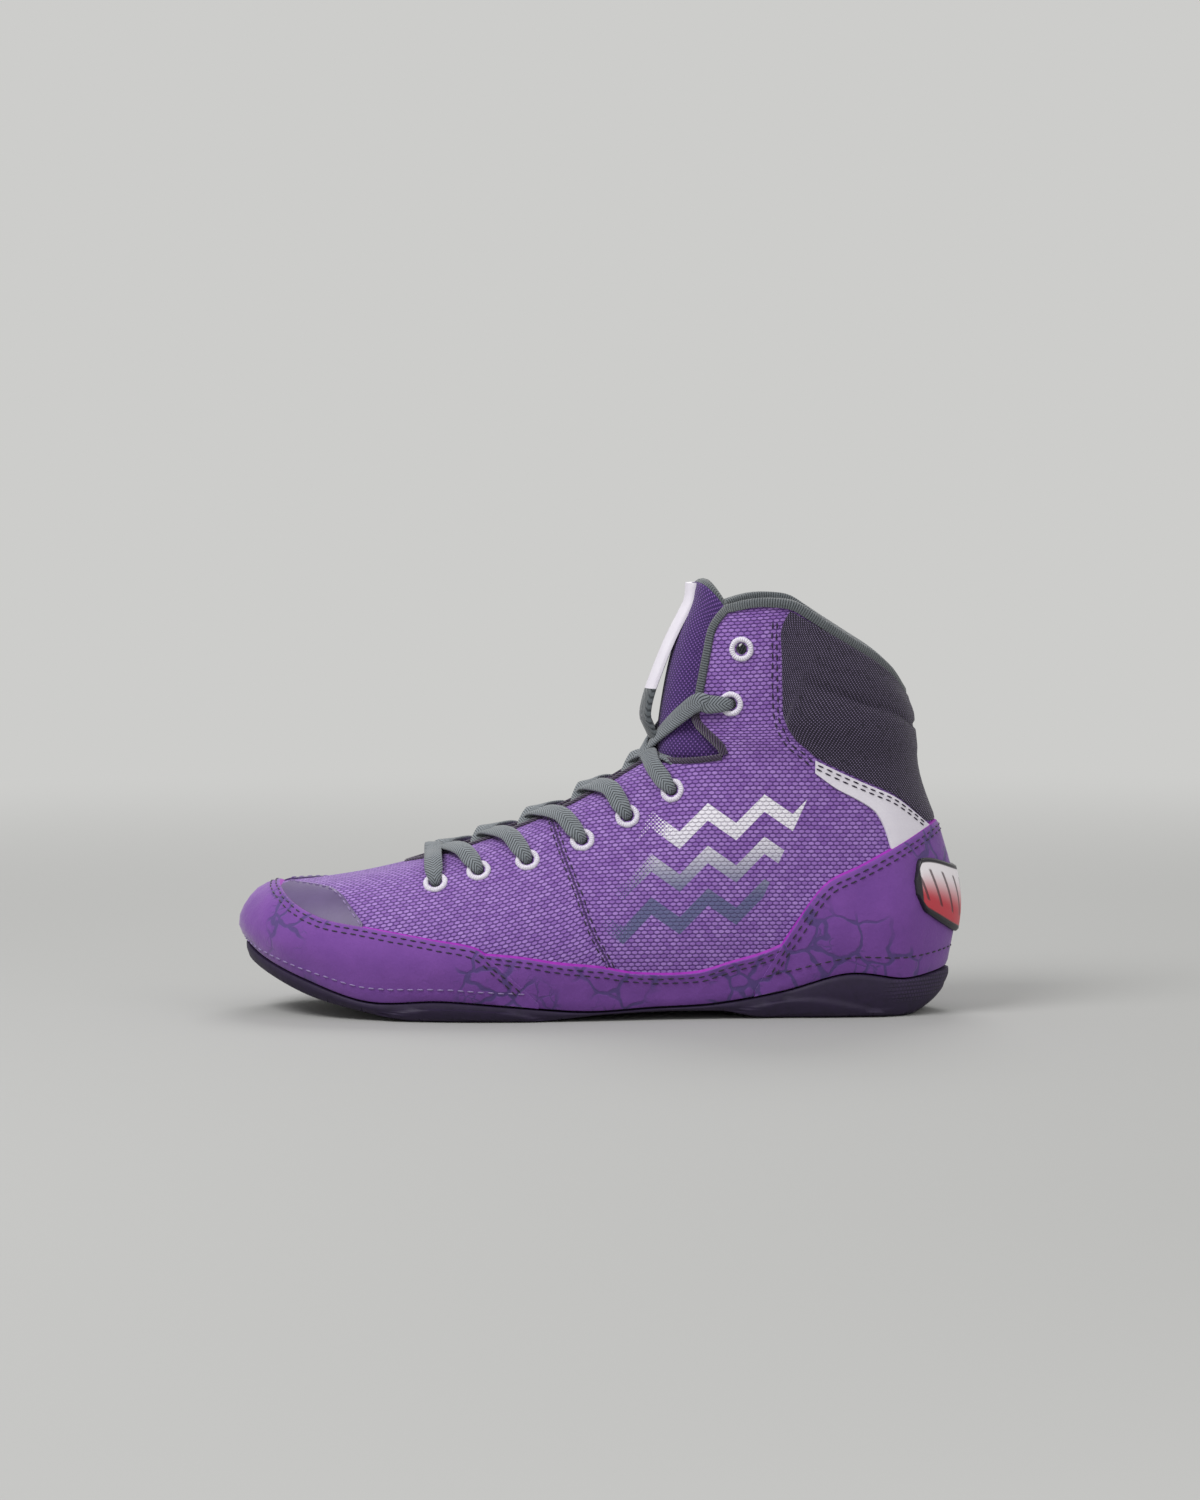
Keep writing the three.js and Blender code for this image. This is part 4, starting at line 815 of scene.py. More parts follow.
def print_mask(tree, place):
    """Plain zigzag print: white at its top, slate at its foot, dotted away at the toe side."""
    parts = put(tree, SPLIT, place, out=None).outputs
    x = put(tree, MATH, parts[0], MILLIMETRES, operation="MULTIPLY")
    z = put(tree, MATH, parts[2], MILLIMETRES, operation="MULTIPLY")
    # bands: a triangle wave along x, repeated up z
    ahead = put(tree, MATH, x, 407.0, operation="ADD")
    saw = put(tree, MATH, ahead, ZIGZAG_HALF_PITCH, operation="PINGPONG")
    slope = put(tree, MATH, x, PRINT_SLOPE, operation="MULTIPLY")
    level = put(tree, MATH, z, slope, operation="ADD")
    rise = put(tree, MATH, saw, ZIGZAG_STEEP, operation="MULTIPLY")
    wave = put(tree, MATH, level, rise, operation="ADD")
    lifted = put(tree, MATH, wave, 0.5, operation="ADD")
    band = put(tree, MATH, lifted, BAND_HALF_PITCH, operation="PINGPONG")
    line = put(tree, RANGE, band, 4.7, 5.0, **SMOOTH)
    # region: a leaning four-sided field
    from_x = put(tree, MATH, x, PRINT_X, operation="SUBTRACT")
    from_z = put(tree, MATH, z, PRINT_Z, operation="SUBTRACT")
    lean = put(tree, MATH, from_z, PRINT_LEAN, operation="MULTIPLY")
    lean_x = put(tree, MATH, from_x, lean, operation="ADD")
    tilt = put(tree, MATH, from_x, PRINT_SLOPE, operation="MULTIPLY")
    lean_z = put(tree, MATH, from_z, tilt, operation="ADD")
    reach = []
    for value, half in ((lean_x, PRINT_HALF_WIDTH), (lean_z, PRINT_HALF_HEIGHT)):
        size = put(tree, MATH, value, operation="ABSOLUTE")
        reach.append(put(tree, MATH, size, half, operation="DIVIDE"))
    field = put(tree, MATH, *reach, operation="MAXIMUM")
    region = put(tree, RANGE, field, 1.0, 0.985, **SMOOTH)
    # halftone: fewer dots of ink towards the toe
    squares = []
    for operation in ("ADD", "SUBTRACT"):
        diagonal = put(tree, MATH, x, z, operation=operation)
        above = put(tree, MATH, diagonal, 400.0, operation="ADD")
        folds = put(tree, MATH, above, DOT_HALF_PITCH, operation="PINGPONG")
        squares.append(put(tree, MATH, folds, 2.0, operation="POWER"))
    total = put(tree, MATH, *squares, operation="ADD")
    dots = put(tree, MATH, total, operation="SQRT")
    fade = put(tree, RANGE, lean_x, 31.0, 10.0, 0.30, 1.25, **SMOOTH)
    left = put(tree, MATH, fade, dots, operation="SUBTRACT")
    keep = put(tree, RANGE, left, 0.0, 0.12, **SMOOTH)
    inked = put(tree, MATH, line, region, operation="MULTIPLY")
    mask = put(tree, MATH, inked, keep, operation="MULTIPLY", use_clamp=True)
    return mask, put(tree, RANGE, z, 46.0, 78.0, **SMOOTH)


FLOAT_LENGTH = 2.5
FLOAT_HEIGHT = 1.55


def weave_material():
    """Coarse basket weave of two purple yarns: the floats catch the light and the gaps stay dark."""
    material, tree, shader, place = start("polyester basket weave, woven in two purples", 0.72, 0.3, 0.15)
    panel = put(tree, SPLIT, put(tree, UV, uv_map="panel"))
    on_vamp = put(tree, MATH, panel, 0.0, operation="GREATER_THAN")
    level_rows = put(tree, UV, uv_map="weave")
    ridge_rows = put(tree, UV, uv_map="vamp")
    rows = put(tree, MIX, {0: on_vamp, 4: level_rows, 5: ridge_rows}, out=1, data_type="VECTOR")
    floats, tone = floats_of(tree, rows, FLOAT_LENGTH, FLOAT_HEIGHT)
    patchy = put(tree, NOISE, {"Vector": place, "Scale": 70.0, "Detail": 3.0})
    light = put(tree, MIX, {0: patchy, 6: "#9068b6", 7: "#ad8ad0"}, **COLOURS)
    second = put(tree, MATH, tone, 0.8, operation="MULTIPLY")
    yarn = put(tree, MIX, {0: second, 6: light, 7: "#7d54a3"}, **COLOURS)
    # the gaps between the floats take a darker purple: painted shade
    cloth = put(tree, MIX, {0: floats, 6: "#56307e", 7: yarn}, **COLOURS)
    # a dark joint where the vamp is sewn on
    from_seam = put(tree, MATH, panel, operation="ABSOLUTE")
    joint = put(tree, RANGE, from_seam, 0.55, 0.25, **SMOOTH)
    shade = put(tree, MATH, joint, 0.75, operation="MULTIPLY")
    cloth = put(tree, MIX, {0: shade, 6: cloth, 7: "#2c1642"}, **COLOURS)
    # the print lies on the floats; in the gaps it is darkened towards the gap purple, painted shade
    mask, white = print_mask(tree, place)
    ink = put(tree, MIX, {0: white, 6: "#5a5f84", 7: "#ece9f0"}, **COLOURS)
    gaps = put(tree, MATH, 1.0, floats, operation="SUBTRACT")
    through = put(tree, MATH, gaps, 0.22, operation="MULTIPLY")
    ink = put(tree, MIX, {0: through, 6: ink, 7: "#56307e"}, **COLOURS)
    cover = put(tree, MATH, mask, 0.94, operation="MULTIPLY")
    colour = put(tree, MIX, {0: cover, 6: cloth, 7: ink}, **COLOURS)
    fibre = put(tree, NOISE, {"Vector": place, "Scale": 1500.0})
    hairs = put(tree, MATH, fibre, 0.3, operation="MULTIPLY")
    raised = put(tree, MATH, floats, hairs, operation="ADD")
    raised = put(tree, MATH, raised, joint, operation="SUBTRACT")
    normal = put(tree, BUMP, {"Height": raised, "Distance": 0.00045, "Strength": 0.9})
    # shallow waves of soft cloth
    waves = put(tree, NOISE, {"Vector": place, "Scale": 32.0})
    normal = put(tree, BUMP, {"Height": waves, "Distance": 0.0016, "Strength": 0.4, "Normal": normal})
    finish_with(tree, shader, colour, normal)
    return material


def suede_material(name, base, deep, crackle):
    """Brushed synthetic suede: short nap gives mottling and sheen, under a worn printed net of lines."""
    material, tree, shader, place = start(name, 0.86, 0.25, 0.3)
    nap = put(tree, NOISE, {"Vector": place, "Scale": 90.0, "Detail": 4.0, "Roughness": 0.6})
    fine = put(tree, NOISE, {"Vector": place, "Scale": 900.0, "Detail": 3.0, "Roughness": 0.7})
    colour = put(tree, MIX, {0: nap, 6: deep, 7: base}, **COLOURS)
    net = cracks(tree, place, 78.0, 0.075)
    branches = cracks(tree, place, 170.0, 0.07)
    # the print is worn off in wide patches, and its finer lines in smaller ones
    wide = put(tree, NOISE, {"Vector": place, "Scale": 24.0})
    worn = put(tree, RANGE, wide, 0.42, 0.50, **SMOOTH)
    small = put(tree, NOISE, {"Vector": place, "Scale": 60.0})
    sparse = put(tree, RANGE, small, 0.50, 0.60, **SMOOTH)
    twigs = put(tree, MATH, branches, sparse, operation="MULTIPLY")
    faint = put(tree, MATH, twigs, 0.7, operation="MULTIPLY")
    lines = put(tree, MATH, net, faint, operation="MAXIMUM")
    printed = put(tree, MATH, lines, worn, operation="MULTIPLY")
    cover = put(tree, MATH, printed, 0.85, operation="MULTIPLY")
    colour = put(tree, MIX, {0: cover, 6: colour, 7: crackle}, **COLOURS)
    shade = put(tree, MATH, fine, 0.35, operation="MULTIPLY")
    colour = put(tree, MIX, {0: shade, 6: colour, 7: deep}, **COLOURS)
    pressed = put(tree, MATH, printed, 0.8, operation="MULTIPLY")
    height = put(tree, MATH, fine, pressed, operation="SUBTRACT")
    normal = put(tree, BUMP, {"Height": height, "Distance": 0.0002, "Strength": 0.8})
    normal = put(tree, BUMP, {"Height": nap, "Distance": 0.001, "Strength": 0.45, "Normal": normal})
    finish_with(tree, shader, colour, normal)
    return material


def edge_material():
    """Cut edge of the suede, dyed magenta: smooth, a little glossy."""
    material, tree, shader, place = start("cut suede edge, dyed magenta", 0.6, 0.4)
    uneven = put(tree, NOISE, {"Vector": place, "Scale": 400.0})
    colour = put(tree, MIX, {0: uneven, 6: "#7d1690", 7: "#a828ba"}, **COLOURS)
    fuzz = put(tree, NOISE, {"Vector": place, "Scale": 900.0})
    normal = put(tree, BUMP, {"Height": fuzz, "Distance": 0.0001, "Strength": 0.6})
    finish_with(tree, shader, colour, normal)
    return material


def film_material(name, base, deep):
    """Thin smooth film pressed on cloth: a faint grain and a soft gloss."""
    material, tree, shader, place = start(name, 0.5, 0.4, 0.0, 0.1)
    patchy = put(tree, NOISE, {"Vector": place, "Scale": 120.0, "Detail": 3.0})
    colour = put(tree, MIX, {0: patchy, 6: deep, 7: base}, **COLOURS)
    grain = put(tree, NOISE, {"Vector": place, "Scale": 1100.0})
    normal = put(tree, BUMP, {"Height": grain, "Distance": 0.00012, "Strength": 0.7})
    finish_with(tree, shader, colour, normal)
    return material


def mesh_material(name, ground, painted_glint, pitch, share):
    """Spacer mesh: rows of lozenge openings; the raised threads between them get small painted highlights."""
    material, tree, shader, place = start(name, 0.7, 0.35, 0.2)
    parts = put(tree, SPLIT, put(tree, UV, uv_map="weave"), out=None).outputs
    u = put(tree, MATH, parts[0], pitch, operation="DIVIDE")
    v = put(tree, MATH, parts[1], pitch, operation="DIVIDE")
    threads = []
    for operation in ("ADD", "SUBTRACT"):
        diagonal = put(tree, MATH, u, v, operation=operation)
        above = put(tree, MATH, diagonal, WELL_ABOVE, operation="ADD")
        threads.append(put(tree, MATH, above, 0.5, operation="PINGPONG"))
    tops = [put(tree, RANGE, thread, 0.2, 0.42, **SMOOTH) for thread in threads]
    knot = put(tree, MATH, *tops, operation="MULTIPLY")
    uneven = put(tree, NOISE, {"Vector": place, "Scale": 700.0})
    some = put(tree, RANGE, uneven, 0.15, 0.50, **SMOOTH)
    lit = put(tree, MATH, knot, some, operation="MULTIPLY", use_clamp=True)
    cover = put(tree, MATH, lit, share, operation="MULTIPLY")
    # pale painted highlights on some raised thread crossings
    colour = put(tree, MIX, {0: cover, 6: ground, 7: painted_glint}, **COLOURS)
    raised = put(tree, MATH, *threads, operation="MAXIMUM")
    normal = put(tree, BUMP, {"Height": raised, "Distance": 0.00052, "Strength": 0.9})
    waves = put(tree, NOISE, {"Vector": place, "Scale": 60.0})
    normal = put(tree, BUMP, {"Height": waves, "Distance": 0.0012, "Strength": 0.35, "Normal": normal})
    finish_with(tree, shader, colour, normal)
    return material


def knit_material(name, base, deep, rib, slant, distance):
    """Ribbed knit: narrow ribs across the band, each a row of loops painted lit, with a furrow in painted
    shade beside it.
    """
    material, tree, shader, place = start(name, 0.85, 0.25, 0.35)
    parts = put(tree, SPLIT, put(tree, UV, uv_map="weave"), out=None).outputs
    slanted = put(tree, MATH, parts[1], slant, operation="MULTIPLY")
    along = put(tree, MATH, parts[0], slanted, operation="ADD")
    counted = put(tree, MATH, along, rib, operation="DIVIDE")
    above = put(tree, MATH, counted, WELL_ABOVE, operation="ADD")
    wave = put(tree, MATH, above, 0.5, operation="PINGPONG")
    ribs = put(tree, RANGE, wave, 0.03, 0.32, **SMOOTH)
    loops = put(tree, NOISE, {"Vector": place, "Scale": 1300.0, "Detail": 1.0})
    tone = put(tree, MATH, loops, 0.6, operation="MULTIPLY")
    tone = put(tree, MATH, tone, 0.6, operation="ADD")
    lit = put(tree, MATH, ribs, tone, operation="MULTIPLY", use_clamp=True)
    # painted light on the ribs and painted shade in the furrows, with a random tone from the loops
    colour = put(tree, MIX, {0: lit, 6: deep, 7: base}, **COLOURS)
    rough = put(tree, MATH, loops, 0.5, operation="MULTIPLY")
    height = put(tree, MATH, ribs, rough, operation="ADD")
    normal = put(tree, BUMP, {"Height": height, "Distance": distance, "Strength": 0.9})
    finish_with(tree, shader, colour, normal)
    return material


LACE_RIB = 1.25


def lace_material():
    """Flat tubular braid: two sets of slanted ribs that meet along the middle, with a soft matt face."""
    material, tree, shader, place = start("polyester lace, flat braided in grey", 0.8, 0.3, 0.3)
    parts = put(tree, SPLIT, put(tree, UV, uv_map="weave"), out=None).outputs
    across = put(tree, MATH, parts[1], LACE_WIDTH / 2, operation="PINGPONG")
    slanted = put(tree, MATH, across, 0.8, operation="MULTIPLY")
    along = put(tree, MATH, parts[0], slanted, operation="ADD")
    counted = put(tree, MATH, along, LACE_RIB, operation="DIVIDE")
    above = put(tree, MATH, counted, WELL_ABOVE, operation="ADD")
    wave = put(tree, MATH, above, 0.5, operation="PINGPONG")
    ribs = put(tree, RANGE, wave, 0.02, 0.30, **SMOOTH)
    fuzz = put(tree, NOISE, {"Vector": place, "Scale": 1500.0})
    tone = put(tree, MATH, fuzz, 0.7, operation="MULTIPLY")
    tone = put(tree, MATH, 0.55, tone, operation="ADD")
    lit = put(tree, MATH, ribs, tone, operation="MULTIPLY", use_clamp=True)
    # painted light on the ribs and painted shade in the grooves between them, with a random tone from the
    # fuzz
    colour = put(tree, MIX, {0: lit, 6: "#3d4246", 7: "#82888e"}, **COLOURS)
    rough = put(tree, MATH, fuzz, 0.4, operation="MULTIPLY")
    height = put(tree, MATH, ribs, rough, operation="ADD")
    normal = put(tree, BUMP, {"Height": height, "Distance": 0.00035, "Strength": 0.9})
    finish_with(tree, shader, colour, normal)
    return material


def thread_material(name, base, deep):
    """Twisted sewing thread: fine slanted lay, slightly glossy."""
    material, tree, shader, place = start(name, 0.55, 0.45, 0.2)
    lay = put(tree, NOISE, {"Vector": place, "Scale": 2600.0, "Detail": 1.0})
    colour = put(tree, MIX, {0: lay, 6: deep, 7: base}, **COLOURS)
    normal = put(tree, BUMP, {"Height": lay, "Distance": 0.0001, "Strength": 0.8})
    finish_with(tree, shader, colour, normal)
    return material


# Length, row height and groove in millimetres of the bricks of the tread and of the hatch at the heel.
# A real tread of this kind is finer; it is drawn this coarse so that it shows.
TREAD = (9.0, 5.0, 0.9)
HEEL_HATCH = (2.2, 1.5, 0.35)


def rubber_material():
    """Moulded rubber: matt, faintly grained, with a brick tread underneath and a hatch round the heel."""
    material, tree, shader, place = start("sole rubber, moulded with a fine brick tread", 0.62, 0.4)
    parts = put(tree, SPLIT, place, out=None).outputs
    x, y, z = (put(tree, MATH, part, MILLIMETRES, operation="MULTIPLY") for part in parts)
    along = put(tree, MATH, x, y, operation="ADD")
    grooves = []
    for (length, row, groove), a, b in ((TREAD, x, y), (HEEL_HATCH, along, z)):
        grooves.append(put(tree, "ShaderNodeTexBrick", {
            "Vector": put(tree, JOIN, a, b), "Scale": 1.0, "Mortar Size": groove, "Mortar Smooth": 0.6,
            "Bias": 0.0, "Brick Width": length, "Row Height": row}, out="Fac", offset=0.5, squash=1.0))
    blocks, hatch = grooves
    facing = put(tree, SPLIT, put(tree, "ShaderNodeNewGeometry", out="Normal"), out=2)
    under = put(tree, RANGE, facing, -0.45, -0.75, **SMOOTH)
    back = put(tree, RANGE, parts[0], -0.012, -0.026, **SMOOTH)
    lifted = put(tree, RANGE, parts[2], 0.005, 0.009, **SMOOTH)
    at_heel = put(tree, MATH, back, lifted, operation="MULTIPLY")
    grain = put(tree, NOISE, {"Vector": place, "Scale": 260.0, "Detail": 4.0})
    colour = put(tree, MIX, {0: grain, 6: "#1a1028", 7: "#2b1c3e"}, **COLOURS)
    # the raised ridges of the hatch at the heel are drawn lighter
    between = put(tree, MATH, 1.0, hatch, operation="SUBTRACT")
    raised = put(tree, MATH, between, at_heel, operation="MULTIPLY")
    lighter_ridges = put(tree, MATH, raised, 0.45, operation="MULTIPLY")
    colour = put(tree, MIX, {0: lighter_ridges, 6: colour, 7: "#46355c"}, **COLOURS)
    patchy = put(tree, NOISE, {"Vector": place, "Scale": 40.0, "Detail": 3.0})
    dusty = put(tree, MATH, under, patchy, operation="MULTIPLY")
    dust = put(tree, MATH, dusty, 0.25, operation="MULTIPLY")
    colour = put(tree, MIX, {0: dust, 6: colour, 7: "#4a4154"}, **COLOURS)
    low_grain = put(tree, MATH, grain, 0.15, operation="MULTIPLY")
    cut = put(tree, MATH, blocks, under, operation="MULTIPLY")
    height = put(tree, MATH, low_grain, cut, operation="SUBTRACT")
    normal = put(tree, BUMP, {"Height": height, "Distance": 0.0009, "Strength": 0.8})
    hatched = put(tree, MATH, hatch, at_heel, operation="MULTIPLY")
    normal = put(tree, BUMP, {"Height": hatched, "Distance": 0.0005, "Strength": 0.8, "Normal": normal})
    pores = put(tree, NOISE, {"Vector": place, "Scale": 1200.0})
    normal = put(tree, BUMP, {"Height": pores, "Distance": 0.00008, "Strength": 0.8, "Normal": normal})
    finish_with(tree, shader, colour, normal)
    return material


def badge_material():
    """Moulded rubber badge: a dark rim round a face that fades from white to red, with slanted grooves."""
    material, tree, shader, place = start("badge rubber, moulded and printed white to red",
                                          0.42, 0.5, 0.0, 0.15)
    u, v, _ = put(tree, SPLIT, put(tree, UV, uv_map="weave"), out=None).outputs
    to_edge = []
    for value in (u, v):
        other = put(tree, MATH, 1.0, value, operation="SUBTRACT")
        to_edge.append(put(tree, MATH, value, other, operation="MINIMUM"))
    ends = put(tree, RANGE, to_edge[0], 0.045, 0.035, **SMOOTH)
    sides = put(tree, RANGE, to_edge[1], 0.10, 0.075, **SMOOTH)
    rim = put(tree, MATH, ends, sides, operation="MAXIMUM", use_clamp=True)
    counted = put(tree, MATH, u, 9.0, operation="MULTIPLY")
    slanted = put(tree, MATH, counted, v, operation="ADD")
    above = put(tree, MATH, slanted, 50.0, operation="ADD")
    slash = put(tree, MATH, above, 0.5, operation="PINGPONG")
    narrow = put(tree, RANGE, slash, 0.12, 0.06, **SMOOTH)
    inside = put(tree, RANGE, to_edge[1], 0.2, 0.24, **SMOOTH)
    groove = put(tree, MATH, narrow, inside, operation="MULTIPLY")
    fade = put(tree, RANGE, v, 0.25, 0.8, **SMOOTH)
    colour = put(tree, MIX, {0: fade, 6: "#c2303f", 7: "#efe9ee"}, **COLOURS)
    shade = put(tree, MATH, groove, 0.8, operation="MULTIPLY")
    colour = put(tree, MIX, {0: shade, 6: colour, 7: "#3a1420"}, **COLOURS)
    colour = put(tree, MIX, {0: rim, 6: colour, 7: "#15101c"}, **COLOURS)
    height = put(tree, MATH, rim, groove, operation="SUBTRACT")
    normal = put(tree, BUMP, {"Height": height, "Distance": 0.0005, "Strength": 0.9})
    grain = put(tree, NOISE, {"Vector": place, "Scale": 900.0})
    normal = put(tree, BUMP, {"Height": grain, "Distance": 0.00006, "Strength": 0.7, "Normal": normal})
    finish_with(tree, shader, colour, normal)
    return material


WEAVE = weave_material()
SUEDE_PURPLE = suede_material("synthetic suede, brushed and printed purple", "#8450a6", "#673d8b", "#4a4272")
EDGE = edge_material()
PATCH = film_material("toe film, pressed smooth grey purple", "#5f4d79", "#4e3e65")
WHITE_FILM = film_material("white film, pressed on cloth", "#e6e2ea", "#d3cdda")
# The second colour of each spacer mesh is its painted highlight
# The cuff's real mesh has openings 0.95 mm apart, drawn at 1.35 mm so that they show
CUFF_MESH = mesh_material("cuff spacer mesh, knitted near black", "#1a1226", "#8a7b9e", 1.35, 1.0)
TONGUE_MESH = mesh_material("tongue spacer mesh, knitted purple", "#371a5c", "#8d62b6", 1.9, 0.9)
LINING = knit_material("lining, knitted grey", "#5d6266", "#373b3f", 1.3, 0.5, 0.0003)
BINDING = knit_material("binding tape, ribbed grey knit", "#686d71", "#3a3f43", 1.0, 0.0, 0.0005)
PIPING = knit_material("piping cord, twisted dark", "#4a3a56", "#1a1322", 1.4, 1.1, 0.0006)
LACE = lace_material()
WHITE_THREAD = thread_material("embroidery thread, sewn white", "#f1eef4", "#c9c2d4")
DARK_THREAD = thread_material("sewing thread, twisted dark purple", "#2c183e", "#170b22")
PALE_THREAD = thread_material("sewing thread, twisted pale lilac", "#a18cbd", "#5c4579")
RUBBER = rubber_material()
BADGE = badge_material()
INSOLE_CLOTH = knit_material("insole cloth, brushed dark", "#4a4353", "#2f2a38", 1.6, 0.7, 0.0003)


# Upper


def rim_up(station):
    """How far up the section the throat's edge lies."""
    k = fold(station)
    if k <= THROAT_START or k >= NOTCH:
        return 1.0
    return follow(THROAT_CUT, "station", k, "up")


def wall_at(station, up):
    """The wall's thickness: thicker where the collar is padded."""
    padded = smoothstep(folded(station), 8.6, 9.6) * smoothstep(up, 0.75, 1.15)
    return lerp(UPPER_WALL, COLLAR_WALL, padded)


def build_upper():
    """One closed cloth wall: open underneath, along the throat and at the collar, with cut notches."""
    stations = np.arange(0, ROUND, 0.125)
    foot = np.linspace(0, 1, 25)
    leg = np.linspace(0, 1, 19)[1:]
    columns = []
    ks = []
    us = []
    for station in stations:
        heights = list(foot * rim_up(station))
        if fold(station) >= NOTCH:
            heights += list(1 + leg)
        columns.append(range(len(ks), len(ks) + len(heights)))
        ks += [station] * len(heights)
        us += heights
    ks = np.array(ks)
    us = np.array(us)
    total = len(ks)
    outer = off_face(ks, us, np.zeros_like(us))
    inner = off_face(ks, us, -wall_at(ks, us))
    faces = []
    slots = []
    count = len(stations)
    for i in range(count):
        n = (i + 1) % count
        a, b = columns[i], columns[n]
        rows = min(len(a), len(b)) - 1
        for j in range(rows):
            faces.append((a[j], b[j], b[j + 1], a[j + 1]))
            slots.append(0)
            faces.append((total + a[j], total + a[j + 1], total + b[j + 1], total + b[j]))
            slots.append(1)
        faces.append((a[0], total + a[0], total + b[0], b[0]))
        slots.append(1)
        if max(fold(stations[i]), fold(stations[n])) > THROAT_START + 0.001:
            faces.append((a[rows], b[rows], total + b[rows], total + a[rows]))
            slots.append(1)
        tall = a if len(a) > len(b) else b if len(b) > len(a) else None
        if tall:
            for j in range(rows, len(tall) - 1):
                faces.append((tall[j], tall[j + 1], total + tall[j + 1], total + tall[j]))
                slots.append(1)
    seam = curve_of(VAMP_SEAM, "high", "along")
    ahead = outer[:, 0] - seam(outer[:, 2] / INSTEP_HEIGHT) * SHOE_LENGTH
    panel = np.stack([ahead, us], axis=-1)
    pairs = {"weave": side_uv(ks, us), "vamp": vamp_uv(ks, us), "panel": panel}
    pairs = {key: np.concatenate([v, v]) for key, v in pairs.items()}
    points = np.concatenate([outer, inner])
    return make_object("upper_cloth", points, faces, [WEAVE, LINING], slots, pairs, sharp=50)


SIDES = (("outer", 1), ("inner", -1))
EYELET_SPOTS = []
for word, side in SIDES:
    for number, spot in enumerate(EYELETS, 1):
        k, u = place_on(spot["along"], spot["high"], side)
        EYELET_SPOTS.append({"name": f"eyelet_{word}_{number}", "side": side, "number": number,
                             "station": k, "up": u})

# The punch that cuts a hole, and how far it reaches on both sides of the face
HOLE_SIDES = 16
HOLE_REACH = 6.0


def punch(obj):
    """Cuts the eyelet holes through the wall."""
    points = []
    faces = []
    for spot in EYELET_SPOTS:
        middle = skin(spot["station"], spot["up"])
        normal = face_normal(spot["station"], spot["up"])
        first = unit(np.cross(normal, [1.0, 0.2, 0.1]))
        second = np.cross(normal, first)
        start_at = len(points)
        for depth in (-HOLE_REACH, HOLE_REACH):
            for s in range(HOLE_SIDES):
                turn = 2 * math.pi * s / HOLE_SIDES
                around_it = first * math.cos(turn) + second * math.sin(turn)
                points.append(middle + normal * depth + around_it * EYELET_HOLE / 2)
        ring = range(start_at, start_at + HOLE_SIDES)
        for s in range(HOLE_SIDES):
            t = (s + 1) % HOLE_SIDES
            faces.append((ring[s], ring[t], ring[t] + HOLE_SIDES, ring[s] + HOLE_SIDES))
        faces.append(tuple(reversed(ring)))
        faces.append(tuple(r + HOLE_SIDES for r in ring))
    tool = make_object("hole_tool", np.array(points), faces, [LINING])
    modifier = obj.modifiers.new("holes", "BOOLEAN")
    modifier.object = tool
    modifier.operation = "DIFFERENCE"
    modifier.solver = "EXACT"
    plain(obj)
    bpy.data.objects.remove(tool)
    return obj


upper = punch(build_upper())
dress(upper, ["upper"])


# Suede rands and counter, film patches and stripes


def spans(a, b, step):
    """Stations from a to b, about a step apart."""
    return np.linspace(a, b, max(2, int(round(abs(b - a) / step)) + 1))


def reach(edge, ks):
    """The last station at which an edge still lies above the feather."""
    ups = cut_up(ks, edge)
    return ks[np.nonzero(ups > 0.02)[0][-1]]


toe_end = reach(TOE_RAND_EDGE, np.linspace(3, 7, 400))
counter_start = reach(COUNTER_EDGE, np.linspace(11, 7, 400))


SIDE_RAND = SUEDE * 0.75
PATCH_FILM = 0.9
STRIPE_FILM = 0.8


def mirrored(ks, side):
    return ks if side > 0 else ROUND - ks


def build_rand(name, ups, ks, thickness, rows):
    """Suede from the feather up to a cut edge."""
    return overlay(name, ks, np.zeros_like(ks), ups, thickness, [SUEDE_PURPLE, EDGE], rows)


ks = spans(-toe_end, toe_end, 0.09)
toe_rand = build_rand("toe_rand_suede", cut_up(ks, TOE_RAND_EDGE), ks, SUEDE, 9)
dress(toe_rand, ["toe_rand"])
ks = spans(counter_start, ROUND - counter_start, 0.09)
counter = build_rand("heel_counter_suede", cut_up(ks, COUNTER_EDGE), ks, SUEDE, 9)
dress(counter, ["heel_counter"])


